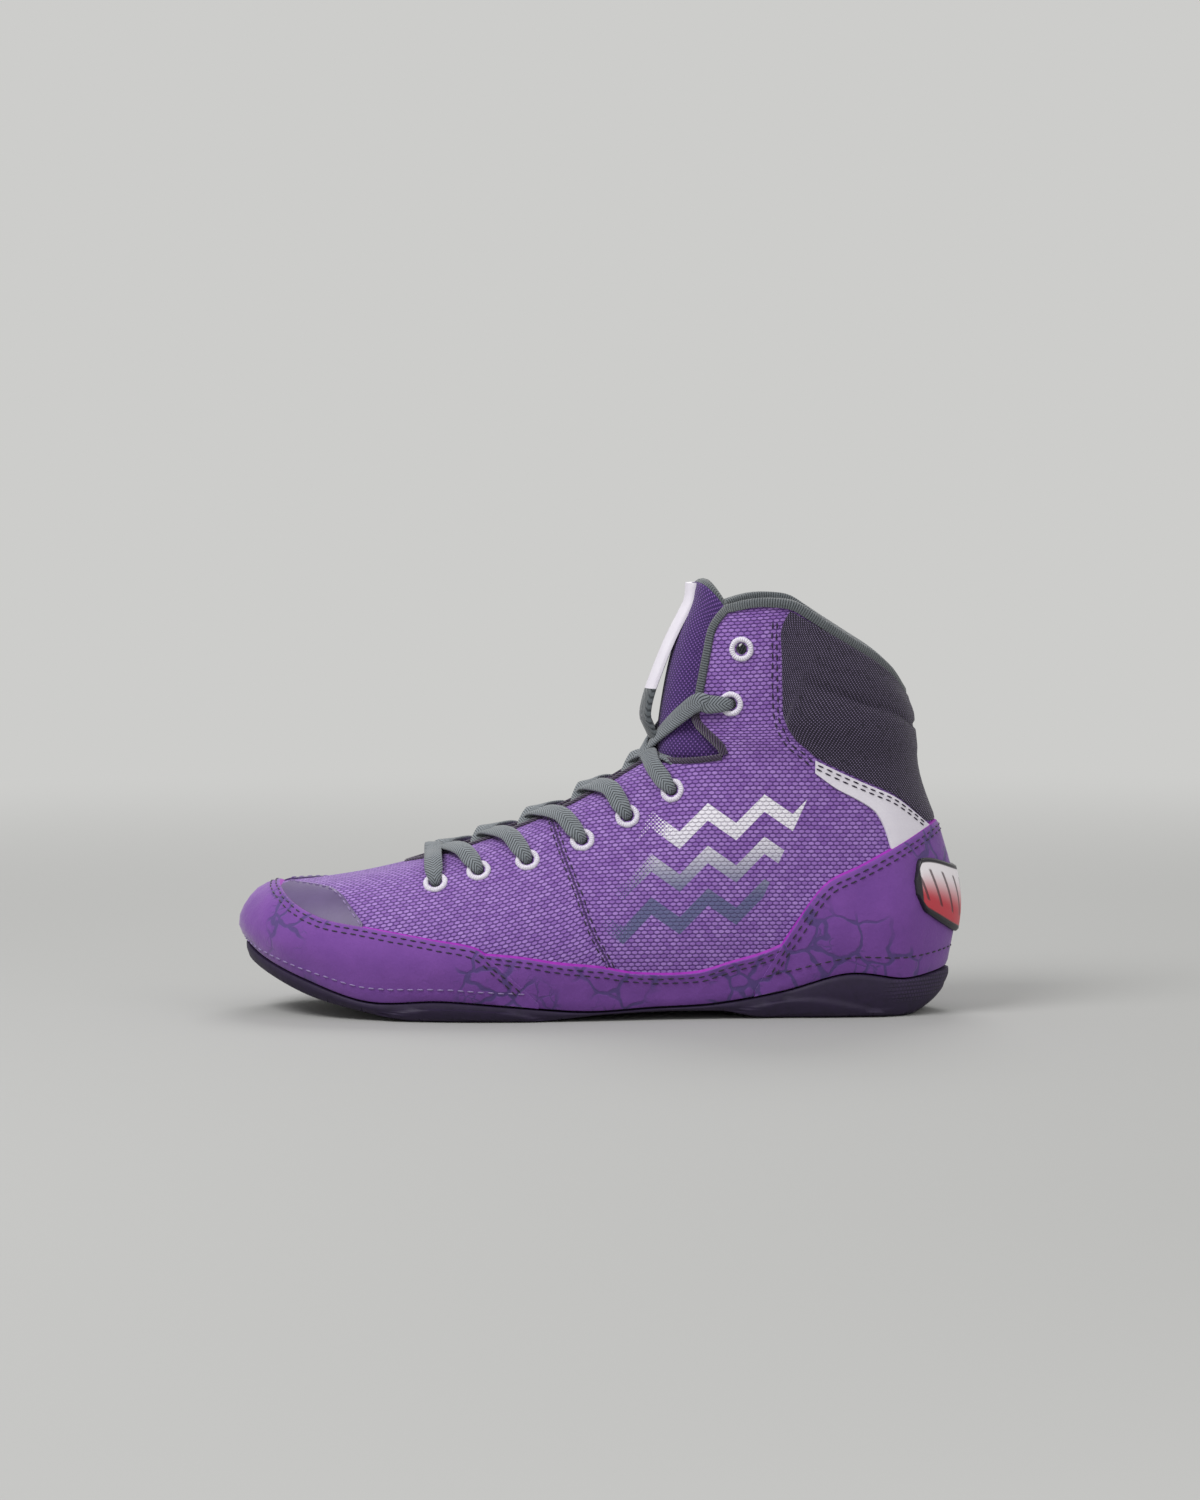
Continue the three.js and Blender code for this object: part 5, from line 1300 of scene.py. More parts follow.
side_from = meeting(SIDE_RAND_EDGE, TOE_RAND_EDGE, 4, toe_end)
side_to = meeting(SIDE_RAND_EDGE, COUNTER_EDGE, counter_start - 0.2, 9.6)
patch_from = meeting(PATCH_EDGE, TOE_RAND_EDGE, 1.9, 2.95)
stripe_from, _ = place_on(STRIPE_TOP[-1]["along"], STRIPE_TOP[-1]["high"], 1)
stripe_to = meeting(STRIPE_TOP, COUNTER_EDGE, 10.2, 11.95)
side_rands = {}
patches = {}
stripes = {}
for word, side in SIDES:
    ks = spans(side_from - 0.15, side_to + 0.12, 0.09)
    ups = cut_up(ks, SIDE_RAND_EDGE)
    piece = build_rand(f"side_rand_suede_{word}", ups, mirrored(ks, side), SIDE_RAND, 6)
    side_rands[side] = dress(piece, [f"side_rand_{word}"])

    ks = spans(patch_from, 1.05, 0.07)
    low = cut_up(ks, TOE_RAND_EDGE) - 0.04
    high = np.clip(cut_up(ks, PATCH_EDGE), low + 0.02, 0.93)
    piece = overlay(f"toe_patch_film_{word}", mirrored(ks, side), low, high, PATCH_FILM, [PATCH], 7, edge=0)
    patches[side] = dress(piece, [f"toe_patch_{word}"])

    ks = spans(stripe_from, stripe_to, 0.05)
    low = np.maximum(cut_up(ks, STRIPE_BOTTOM), cut_up(ks, COUNTER_EDGE) - 0.03)
    high = np.maximum(cut_up(ks, STRIPE_TOP), low + 0.004)
    piece = overlay(f"heel_stripe_film_{word}", mirrored(ks, side), low, high, STRIPE_FILM, [WHITE_FILM],
                    6, edge=0)
    stripes[side] = dress(piece, [f"heel_stripe_{word}"])


# Padded cuff

# In millimetres: its thickness at the front edge, the depth of the crease across it, and how far it
# ends below the collar's edge
CUFF_THIN = 0.9
CUFF_CREASE = 1.3
CUFF_BELOW = 2.6
CUFF_COLUMNS = 61


def cuff_lines():
    """Lower and upper edge of the cuff on the outer side, as station and up, from its front to the heel."""
    front = [place_on(spot["along"], spot["high"], 1) for spot in CUFF_FRONT]
    stripe_start = front[-1][0]
    back = np.linspace(stripe_start, HEEL, 14)[1:]
    above = np.maximum(cut_up(back, STRIPE_TOP), cut_up(back, COUNTER_EDGE)) + 0.012
    low = np.array(front + list(zip(back, above)))
    low[0, 1] = 1.8
    last = len(low) - 1
    share = np.linspace(0, 1, len(low))
    top_k = lerp(low[0, 0], HEEL, share ** 0.9)
    legs = [follow(COLLAR_LINE, "round", (HEEL - k) / (HEEL - NOTCH), "high") for k in top_k]
    top_u = 2 - CUFF_BELOW / (np.array(legs) * (SHAFT_HEIGHT - INSTEP_HEIGHT))
    fine = np.linspace(0, last, CUFF_COLUMNS)
    return [np.interp(fine, np.arange(last + 1), values) for values in (low[:, 0], low[:, 1], top_k, top_u)]


def build_cuff():
    """A padded band round the heel: full below, thin at its edges, with one soft crease across it."""
    low_k, low_u, top_k, top_u = cuff_lines()
    low_k, top_k = (np.concatenate([k, ROUND - k[-2::-1]]) for k in (low_k, top_k))
    low_u, top_u = (np.concatenate([u, u[-2::-1]]) for u in (low_u, top_u))
    shares = edge_shares(26, 0.02)
    ks = low_k[:, None] + (top_k - low_k)[:, None] * shares[None]
    us = low_u[:, None] + (top_u - low_u)[:, None] * shares[None]
    across = np.linspace(0, 1, len(low_k))[:, None] * np.ones_like(ks)
    from_front = np.minimum(across, 1 - across) * 2
    height = shares[None] * np.ones_like(ks)
    ends = smoothstep(from_front, 0, 0.2)
    low = smoothstep(height, 0, 0.35)
    high = 1 - 0.45 * smoothstep(height, 0.75, 1)
    pad = lerp(CUFF_THIN, CUFF_THICKNESS, ends * low) * lerp(1, high, ends)
    crease = 0.50 + 0.12 * from_front
    groove = np.exp(-((height - crease) / 0.035) ** 2) * smoothstep(from_front, 0.08, 0.3)
    pad = pad - groove * CUFF_CREASE
    pad[:, 0] *= 0.6
    pad[:, -1] *= 0.6
    outer = off_face(ks, us, pad)
    inner = off_face(ks, us, np.full_like(us, -SUNK))
    steps = np.linalg.norm(np.diff(outer, axis=0), axis=2).mean(axis=1)
    u = np.concatenate([[0], np.cumsum(steps)])[:, None] * np.ones_like(us)
    uvs = {"weave": np.stack([u, outer[..., 2]], -1)}
    return slab("collar_cuff_padded", outer, inner, [CUFF_MESH], uvs=uvs)


cuff = dress(build_cuff(), ["collar_cuff"])


# Binding round the collar and piping round the throat


def fold_profile(wall, width, thick, inside):
    """Closed section of a tape folded over the wall's edge: (beyond the edge, out of the face)."""
    return [
        [-width, 0.02], [-width + 0.15, thick * 0.75], [-width * 0.5, thick], [0, thick],
        [thick * 0.75, thick * 0.6], [thick, 0], [thick, -wall], [thick * 0.75, -wall - thick * 0.6],
        [0, -wall - thick], [-inside * 0.6, -wall - thick], [-inside, -wall - thick * 0.5],
        [-inside, -wall + 0.1], [-0.2, -wall + 0.1], [-0.2, -0.1],
    ]


def trim(name, ks, us, sizes, materials, chosen=None):
    """A tape along the wall's edge; sizes are its width outside, its thickness and its width inside."""
    profiles = np.array([fold_profile(wall, *sizes) for wall in wall_at(ks, us)])
    return sweep(name, skin(ks, us), face_normal(ks, us), profiles, materials, chosen)


BINDING_SIZES = (2.4, 1.25, 3.8)
PIPING_SIZES = (1.5, 1.0, 1.4)
# Up of the place where the tape starts on a flap's front edge, and where it turns from dark to grey
FLAP_FROM = 1.012
GREY_FROM = 1.27

flap_ups = np.linspace(FLAP_FROM, 2, 22)
collar_ks = np.arange(NOTCH, ROUND - NOTCH + 0.01, 0.125)
ks = np.concatenate([np.full(22, NOTCH), collar_ks[1:-1], np.full(22, ROUND - NOTCH)])
us = np.concatenate([flap_ups, np.full(len(collar_ks) - 2, 2.0), flap_ups[::-1]])
binding = trim("collar_binding_knit", ks, us, BINDING_SIZES, [BINDING, PIPING], us < GREY_FROM)
dress(binding, ["collar_binding"])

throat = np.concatenate([np.arange(NOTCH - 0.015, THROAT_START, -0.09), [THROAT_START]])
ks = np.concatenate([throat, ROUND - throat[-2::-1]])
us = np.array([rim_up(k) for k in ks])
piping = trim("throat_piping_cord", ks, us, PIPING_SIZES, [PIPING])
dress(piping, ["throat_piping"])


# Tongue and the strip on it

# Rows of (station, share of the bend from foot to leg, height on the leg)
FOOT_ROWS = [(k, 0.0, None) for k in (3.45, 3.8, 4.2, 4.7, 5.2, 5.7, 6.2, 6.6, 7.0)]
BEND_ROWS = [(RIDGE_END, turn, None) for turn in (0.35, 0.7)]
LEG_ROWS = [(0, 0, high) for high in (0, 0.1, 0.2, 0.32, 0.46, 0.6, 0.74, 0.88, 1, TONGUE_TOP)]
TONGUE_ROWS = FOOT_ROWS + BEND_ROWS + LEG_ROWS
# How far the tongue's face lies under the upper's
TONGUE_DEPTH = UPPER_WALL + 1.9
TONGUE_COLUMNS = 12


def tongue_spot(row, across):
    """A point of the tongue's front, across from -1 at its inner edge to 1 at its outer one."""
    station, turn, high = row
    side = -1 if across < 0 else 1
    share = abs(across)
    if high is not None:
        hidden = TONGUE_HIDDEN / (ANKLE_WIDTH / 2)
        corner = max(0.0, (high - TONGUE_ROUND_FROM) / (TONGUE_TOP - TONGUE_ROUND_FROM))
        high = high - TONGUE_ROUND * corner * float(smoothstep(share, 0.3, 0.9))
        angle = lerp(math.pi, flap_angle(min(high, 1.0)) - hidden, share)
        a = leg_point(angle, high, side)
        out = a - np.array([0.25 * SHOE_LENGTH, 0, 0])
        out[2] = 0
        out = out / np.linalg.norm(out)
        return a - out * (TONGUE_DEPTH * float(smoothstep(share, 0.35, 0.72)) + 0.5)
    place = station + turn * share * 1.3
    lowest = rim_up(station) - TONGUE_HIDDEN / INSTEP_HEIGHT * 1.3
    up = lerp(lerp(1, lowest, share), 1, turn)
    shallow = lerp(TONGUE_DEPTH, 1.5, float(smoothstep(station, THROAT_START, THROAT_START + 0.8)))
    sink = lerp(shallow, TONGUE_DEPTH, float(smoothstep(share, 0.1, lerp(0.4, 0.72, turn))))
    return off_face(place if side > 0 else -place, up, -sink)


def build_tongue():
    """A padded slab: thickest along its middle, thinner at its edges and towards the toe."""
    columns = TONGUE_COLUMNS + 1
    middle = slice(TONGUE_COLUMNS // 2, TONGUE_COLUMNS // 2 + 1)
    grid = np.array([[tongue_spot(row, j / TONGUE_COLUMNS * 2 - 1) for j in range(columns)]
                     for row in TONGUE_ROWS])
    out = unit(np.cross(np.gradient(grid, axis=1), np.gradient(grid, axis=0)))
    rows = np.arange(len(grid))[:, None]
    aim = np.where(rows < len(FOOT_ROWS), out[..., 2], out[..., 0])
    out = np.where((aim < 0)[..., None], -out, out)
    edge = np.abs(np.linspace(-1, 1, columns))[None]
    full = lerp(0.55, 1, np.clip(rows / 12, 0, 1)) * TONGUE_THICKNESS
    thick = full * lerp(1, 0.35, edge * edge)
    crown = 0.5 * (1 - edge ** 4) * np.ones_like(thick)
    u = np.cumsum(np.linalg.norm(np.diff(grid, axis=1, prepend=grid[:, :1]), axis=2), axis=1)
    u = u - u[:, middle]
    v = np.cumsum(np.linalg.norm(np.diff(grid, axis=0, prepend=grid[:1]), axis=2), axis=0)
    v = np.repeat(v[:, middle], columns, axis=1)
    obj = slab("tongue_padded", grid + out * crown[..., None], grid - out * thick[..., None],
               [TONGUE_MESH, LINING], edge=1, inside=1, uvs={"weave": np.stack([u, v], -1)})
    return smoothed(obj, 2)


tongue = dress(build_tongue(), ["tongue"])

# How far the strip stands off the tongue along the leg; below KEEPER_KNIT it is bare knit
KEEPER_LINE = table("high off", [
    [0.10, 0.02], [0.16, 0.45], [0.22, 0.88], [0.28, 1], [0.40, 0.9], [0.54, 0.6], [0.70, 0.3],
    [0.88, 0.12], [1.10, 0],
])
KEEPER_KNIT = 0.42


def build_keeper():
    """A bowed strip of film with rounded edges on the tongue's front."""
    highs = np.linspace(KEEPER_LINE[0]["high"], KEEPER_LINE[-1]["high"], 26)
    offs = curve_of(KEEPER_LINE, "high", "off")(highs) * KEEPER_STAND + 0.2
    front = np.array([leg_point(math.pi, h, 1) for h in highs])
    across = np.array([-1, -0.92, -0.5, 0, 0.5, 0.92, 1])
    round_off = np.array([0.5, 1, 1, 1, 1, 1, 0.5])
    y = across[None] * KEEPER_WIDTH / 2 * np.ones((len(highs), 1))

    def grid(layer):
        bowed = KEEPER_BOW * across[None] ** 2
        level = 0.5 + (layer - 0.5) * round_off[None]
        x = front[:, :1] + offs[:, None] - bowed + KEEPER_THICKNESS * level
        return np.stack([x, y, front[:, 2:] * np.ones_like(y)], axis=-1)

    outer = grid(1.0)
    v = np.cumsum(np.linalg.norm(np.diff(outer, axis=0, prepend=outer[:1]), axis=2), axis=0)
    uvs = {"weave": np.stack([y, v], -1)}
    obj = slab("tongue_strip_film", outer, grid(0.0), [WHITE_FILM, LINING], uvs=uvs)
    knit_below = world(leg_point(math.pi, KEEPER_KNIT, 1))[2]
    for face in obj.data.polygons:
        face.material_index = int(face.center.z < knit_below)
    return obj


dress(build_keeper(), ["tongue_strip"])


# Eyelets: rings of satin stitch

UP = np.array([0.0, 0.0, 1.0])
EYELET_STEPS = 168
EYELET_STITCHES = 28
EYELET_TUBE = 10


def build_eyelet(spot):
    """A ring of satin stitches round the hole: each stitch is a low ridge, and its edges waver."""
    middle = skin(spot["station"], spot["up"])
    normal = face_normal(spot["station"], spot["up"])
    first = unit(np.cross(normal, UP))
    second = np.cross(normal, first)
    half = (EYELET_OUTER - EYELET_INNER) / 4
    radius = EYELET_INNER / 2 + half
    points = []
    for i in range(EYELET_STEPS):
        turn = 2 * math.pi * i / EYELET_STEPS
        ray = first * math.cos(turn) + second * math.sin(turn)
        ridge = abs(math.sin(EYELET_STITCHES / 2 * turn))
        wobble = 0.12 * math.sin(turn * 7 + spot["number"] * 1.7) + 0.08 * math.sin(turn * 17 + spot["side"])
        sink = surface_drop(spot, middle + ray * radius)
        for j in range(EYELET_TUBE):
            t = 2 * math.pi * j / EYELET_TUBE
            r = radius + (half + wobble * 0.5) * math.cos(t)
            h = (0.75 + 0.45 * ridge) * math.sin(t)
            points.append(middle + ray * r + normal * (h + sink + 0.12))
    faces = tube_faces(EYELET_STEPS, EYELET_TUBE, joined=True)
    return make_object(spot["name"] + "_satin", np.array(points), faces, [WHITE_THREAD], sharp=80)


def surface_drop(spot, place):
    """How far the face lies above or below the flat plane of the ring at this place."""
    ks = spot["station"] + np.linspace(-0.3, 0.3, 13)
    us = spot["up"] + np.linspace(-0.09, 0.09, 13)
    kk, uu = np.meshgrid(ks, us)
    p = skin(kk, np.clip(uu, 0, 2))
    miss = np.linalg.norm(p - place, axis=-1)
    i, j = np.unravel_index(np.argmin(miss), miss.shape)
    middle = skin(spot["station"], spot["up"])
    normal = face_normal(spot["station"], spot["up"])
    return float(np.dot(p[i, j] - middle, normal))


for spot in EYELET_SPOTS:
    dress(build_eyelet(spot), [spot["name"]])


# Laces: flat braid that dives into the eyelets

# How high a band lies over the cloth, how far it leans to the eyelet before, and its arch between the
# edge and the eyelet
LACE_LIFT = 2.7
LACE_LEAN = 0.6
LACE_ARCH = 0.8
LACE_SECTION = [(-1, 0), (-0.93, 0.62), (-0.6, 0.95), (0, 1), (0.6, 0.95), (0.93, 0.62),
                (1, 0), (0.93, -0.62), (0.6, -0.95), (0, -1), (-0.6, -0.95), (-0.93, -0.62)]


def spline(values, steps=9):
    """Smooth curve through rows of values."""
    v = np.asarray(values, float)
    n = len(v)
    rows = []
    for i in range(n - 1):
        before = v[max(i - 1, 0)]
        after = v[min(i + 2, n - 1)]
        for s in range(steps):
            rows.append(hermite(v[i], v[i + 1], (v[i + 1] - before) / 2, (after - v[i]) / 2, s / steps))
    rows.append(v[-1])
    return np.array(rows)


def lace_band(controls):
    """controls: (point, normal, width, thickness). Returns points, faces and UV of one band."""
    path = spline([c[0] for c in controls])
    normals = unit(spline([c[1] for c in controls]))
    sizes = spline([[c[2], c[3]] for c in controls])
    going = unit(np.gradient(path, axis=0))
    over = unit(np.cross(going, normals))
    out = np.cross(over, going)
    length = run_length(path)
    points = []
    pairs = []
    for i, (wide, thick) in enumerate(sizes):
        for a, b in LACE_SECTION:
            points.append(path[i] + over[i] * a * wide / 2 + out[i] * b * thick / 2)
            pairs.append((length[i], (1 + a) * LACE_WIDTH / 2))
    m = len(LACE_SECTION)
    return points, tube_faces(len(path), m) + tube_ends(len(path), m), pairs


def lace_object(name, bands, nodes):
    """One piece of lace from one or two bands."""
    points, faces, pairs = [], [], []
    for controls in bands:
        p, f, u = lace_band(controls)
        faces += [tuple(i + len(points) for i in face) for face in f]
        points += p
        pairs += u
    obj = make_object(name, np.array(points), faces, [LACE], uvs={"weave": pairs}, sharp=60)
    return dress(obj, nodes)


EYELET_AT = {(spot["side"], spot["number"]): spot for spot in EYELET_SPOTS}


def lace_places(number, side):
    """Where a band comes over the throat's edge into its eyelet, and where the next one leaves."""
    spot = EYELET_AT[side, number]
    before = EYELET_AT.get((side, number - 1), spot)
    here = fold(spot["station"])
    on_flap = here > NOTCH
    own = NOTCH if on_flap else here
    ahead = NOTCH if on_flap else lerp(here, fold(before["station"]), LACE_LEAN)
    rim = spot["up"] if on_flap else rim_up(ahead)
    half_k = mirrored(lerp(ahead, here, 0.5), side)
    half_u = lerp(rim, spot["up"], 0.5)
    over_k = mirrored(ahead, side)
    own_k = mirrored(own, side)
    normal = face_normal(over_k, rim)
    edge = off_face(over_k, rim, LACE_LIFT)
    half_normal = face_normal(half_k, half_u)
    half = off_face(half_k, half_u, LACE_LIFT + (0 if on_flap else LACE_ARCH))
    hole_normal = face_normal(spot["station"], spot["up"])
    hole = skin(spot["station"], spot["up"])
    towards = unit(half - (hole + hole_normal * LACE_LIFT))
    own_rim = spot["up"] if on_flap else rim_up(own)
    gap = off_face(own_k, lerp(1, own_rim, 0.55), -0.9)
    under = gap if on_flap else off_face(own_k, own_rim - 0.06, -UPPER_WALL - 1.8)
    into = [
        (hole - hole_normal * 4.0, hole_normal, 3.6, 2.4),
        (hole + hole_normal * 0.2 + towards * 0.5, hole_normal, 4.2, 2.4),
        (hole + hole_normal * 2.0 + towards * 2.6, unit(hole_normal - towards * 0.4), 6.0, 2.0),
    ]
    if np.linalg.norm(half - hole) > 8.5:
        into.append((hole + hole_normal * LACE_LIFT + towards * 5.4, hole_normal, LACE_WIDTH, LACE_THICKNESS))
    into.append((half, half_normal, LACE_WIDTH, LACE_THICKNESS))
    into.append((edge, normal, LACE_WIDTH, LACE_THICKNESS))
    return {"edge": edge, "into": into, "gap": gap, "under": under}


def flat(point, width=LACE_WIDTH):
    return (point, UP, width, LACE_THICKNESS)


outer = lace_places(1, 1)
inner = lace_places(1, -1)
middle = (outer["edge"] + inner["edge"]) / 2 + UP * 1.6
lace_object("lace_bar_braid", [outer["into"] + [flat(middle)] + inner["into"][::-1]], ["lace_bar"])

for index in range(1, 7):
    bands = []
    for side in (1, -1):
        low = lace_places(index, -side)
        high = lace_places(index + 1, side)
        lift = 0.2 if side > 0 else 2.0
        if index == 6:
            front = leg_point(math.pi, 0.03, 1) + np.array([2.4 + lift, 0, 0])
            middle = (front, unit(np.array([1, 0, 0.6])), LACE_WIDTH, LACE_THICKNESS)
        else:
            middle = flat((low["gap"] + high["edge"]) / 2 + UP * (0.7 + lift))
        hidden = [flat(low["under"], width=3.6), flat(low["gap"], width=5.6)]
        bands.append(hidden + [middle] + high["into"][::-1])
    lace_object(f"lace_crossing_braid_{index}", bands, [f"lace_crossing_{index}"])


# Heel badge

# The station where it starts on the outer side, and how far its face stands out
BADGE_FROM = 11.05
BADGE_STAND = 1.7
BADGE_SHAPE = table("share low high", [
    [0, 0.47, 0.52], [0.08, 0.40, 0.60], [0.5, 0.31, 0.56], [0.92, 0.40, 0.60], [1, 0.47, 0.52],
])


def build_badge():
    """A plate bent round the heel, lower at its rim."""
    shares = edge_shares(60, 0.012)
    rows = edge_shares(12, 0.04)
    ks = lerp(BADGE_FROM, ROUND - BADGE_FROM, shares)

    edges = []
    for column in ("low", "high"):
        wanted = np.array([follow(BADGE_SHAPE, "share", s, column) for s in shares]) * INSTEP_HEIGHT
        edges.append(climb(ks, lambda x: wanted))
    low, high = edges
    us = low[:, None] + (high - low)[:, None] * rows[None]
    kk = np.repeat(ks[:, None], len(rows), axis=1)
    crown = np.ones_like(us)
    crown[0] = crown[-1] = 0.5
    crown[:, 0] = crown[:, -1] = 0.5
    outer = off_face(kk, us, SUEDE + 0.2 + BADGE_STAND * crown)
    inner = off_face(kk, us, np.full_like(us, SUEDE * 0.5))
    uv = np.stack(np.broadcast_arrays(shares[:, None], rows[None]), -1)
    return slab("heel_badge_rubber", outer, inner, [BADGE], uvs={"weave": uv})


dress(build_badge(), ["heel_badge"])


# Sole and insole

SOLE_UNDER = curve_of(SOLE_PROFILE, "along", "high")
SOLE_INSET = curve_of(SOLE_PROFILE, "along", "inset")


def under_at(x):
    return np.maximum(0, SOLE_UNDER(x / SHOE_LENGTH) * INSTEP_HEIGHT)


# Pods that stand out from the sole's wall below a lens-shaped line, in millimetres along the shoe
PODS = table("start end high", [[26, 96, 8.0], [158, 236, 6.5]])
POD_STAND = 1.1
# How far the lip lies below the feather, and how far out the upper's underside reaches over it
SOLE_BELOW = 0.95
UNDER_FEATHER = 1.3


def pod_step(x, z):
    share = np.zeros_like(x)
    for pod in PODS:
        along = np.clip((x - pod["start"]) / (pod["end"] - pod["start"]), 0, 1)
        share = np.maximum(share, smoothstep(pod["high"] * np.sin(math.pi * along) - z, 0, 0.8))
    return share * POD_STAND


def spine_of(plan):
    """Points of the foot's middle line, each beside a point of the outline."""
    x = np.clip(plan[:, 0], HEEL_WIDTH * 0.42, SHOE_LENGTH - BALL_WIDTH * 0.34)
    return np.stack([x, TOE_LEAN * smoothstep(x / SHOE_LENGTH, 0.6, 0.9), 0 * x], axis=1)


def build_sole():
    """A cup in rings from the middle of its tray, over the lip and down the wall, to the tread's middle."""
    ks = np.arange(0, ROUND, 0.125)
    plan = np.array([outline(round(k, 6)) for k in ks])
    out = np.array([outward(round(k, 6)) for k in ks])
    spine = spine_of(plan)
    inset = SOLE_INSET(plan[:, 0] / SHOE_LENGTH) * BALL_WIDTH
    edge_z = np.array([feather_height(k) for k in ks]) - SOLE_BELOW
    pod_z = under_at(plan[:, 0])
    lip = UNDER_FEATHER + SOLE_LIP

    def at(offset, share=0.0):
        p = plan + out * (np.asarray(offset) * np.ones(len(ks)) - FEATHER_TUCK)[:, None]
        return lerp(p, spine, share)

    rings = []

    def ring(p, z):
        q = p.copy()
        q[:, 2] = z
        rings.append(q)

    def tray(p):
        return under_at(p[:, 0]) + SOLE_FLOOR

    for share in (1.0, 0.75, 0.5, 0.25):
        p = at(-SOLE_EDGE, share)
        ring(p, tray(p))
    p = at(-SOLE_EDGE)
    ring(p, np.minimum(tray(p), edge_z + SOLE_FLOOR))
    ring(at(-SOLE_EDGE * 0.7), edge_z)
    for offset, share in ((lip * 0.6, 0.0), (lip * 0.92, 0.03), (lip, 0.12), (lip, 0.30)):
        ring(at(offset), lerp(edge_z, pod_z, share))
    for t in np.linspace(0.08, 0.95, 16):
        z = lerp(edge_z, pod_z, lerp(0.30, 0.80, t))
        ring(at(lip - inset * (0.35 * t ** 1.6) + pod_step(plan[:, 0], z)), z)
    foot_step = pod_step(plan[:, 0], pod_z)
    for t in (0.25, 0.5, 0.75, 1.0):
        turn = t * math.pi / 2
        offset = lerp(lip - inset * 0.35 + foot_step, -inset * 0.8, 1 - math.cos(turn))
        p = at(offset)
        ring(p, lerp(lerp(edge_z, pod_z, 0.80), under_at(p[:, 0]), math.sin(turn)))
    for share in (0.12, 0.35, 0.65, 1.0):
        p = at(-inset, share)
        ring(p, under_at(p[:, 0]))
    faces = tube_faces(len(rings), len(ks))
    return make_object("sole_rubber_cup", np.concatenate(rings), faces, [RUBBER], sharp=55)


dress(build_sole(), ["sole"])


def build_insole():
    """A flat sheet with a rounded upper edge; each ring is (share of the way in, share of its thickness)."""
    ks = np.arange(0, ROUND, 0.25)
    plan = np.array([outline(k) for k in ks])
    edge = plan - np.array([outward(k) for k in ks]) * (INSOLE_INSET + FEATHER_TUCK)
    rings = []
    for share, lift in ((1, 1), (0.6, 1), (0.2, 1), (0.04, 1), (0, 0.75), (0, 0.2), (0.5, 0), (1, 0)):
        p = lerp(edge, spine_of(plan), share)
        p[:, 2] = under_at(p[:, 0]) + SOLE_FLOOR + INSOLE_LIFT + lift * INSOLE_THICKNESS
        rings.append(p)
    points = np.concatenate(rings)
    faces = tube_faces(len(rings), len(ks))
    return make_object("insole_cloth", points, faces, [INSOLE_CLOTH], uvs={"weave": points[:, :2]})


dress(build_insole(), ["insole"])


# Stitching: small threads set along rows by one node tree

# Lines are cast on the pieces from this many millimetres off the face
CAST = 5.0

def stitch_tree():
    """Sets small threads along the edges of a mesh, evenly, each turned along its row."""
    tree = bpy.data.node_groups.new("stitch rows", "GeometryNodeTree")
    face = tree.interface
    inputs = {"Geometry": "Geometry", "Pitch": "Float", "Stitch Length": "Float",
              "Thread Radius": "Float", "Thread": "Material"}
    for name, kind in inputs.items():
        face.new_socket(name, in_out="INPUT", socket_type="NodeSocket" + kind)
    face.new_socket("Geometry", in_out="OUTPUT", socket_type="NodeSocketGeometry")
    given = put(tree, "NodeGroupInput", out=None).outputs
    line = put(tree, "GeometryNodeMeshToCurve", {"Mesh": given["Geometry"]})
    even = put(tree, "GeometryNodeResampleCurve", {"Curve": line, "Length": given["Pitch"]}, mode="LENGTH")
    tangent = put(tree, "GeometryNodeInputTangent")
    turned = put(tree, "FunctionNodeAlignRotationToVector", {"Vector": tangent}, axis="X")
    ball = put(tree, "GeometryNodeMeshUVSphere", {"Segments": 8, "Rings": 6, "Radius": 1.0})
    half = put(tree, MATH, given["Stitch Length"], 0.5, operation="MULTIPLY")
    size = put(tree, JOIN, half, given["Thread Radius"], given["Thread Radius"])
    stitch = put(tree, "GeometryNodeTransform", {"Geometry": ball, "Scale": size})
    laid = put(tree, "GeometryNodeInstanceOnPoints", {"Points": even, "Instance": stitch, "Rotation": turned})
    real = put(tree, "GeometryNodeRealizeInstances", {"Geometry": laid})
    dyed = put(tree, "GeometryNodeSetMaterial", {"Geometry": real, "Material": given["Thread"]})
    shaded = put(tree, "GeometryNodeSetShadeSmooth", {"Geometry": dyed})
    put(tree, "NodeGroupOutput", {"Geometry": shaded}, out=None)
    return tree


STITCHES = stitch_tree()


def tree_of(obj):
    mesh = obj.data
    return BVHTree.FromPolygons([v.co[:] for v in mesh.vertices], [p.vertices[:] for p in mesh.polygons])


def aside(ks, us, distance, axis=2):
    """A line beside another on the face, held above it.

    distance is in millimetres, up the section for axis 2 and towards the toe for axis 0.
    """
    path = skin(ks, us)
    normals = face_normal(ks, us)
    over = unit(np.cross(normals, unit(np.gradient(path, axis=0))))
    over = np.where(over[:, axis:axis + 1] < 0, -over, over)
    return path + over * distance + normals * CAST


STITCH_SIZES = {"Pitch": 3.9, "Stitch Length": 2.7, "Thread Radius": 0.33}
STITCH_LIFT = 0.1


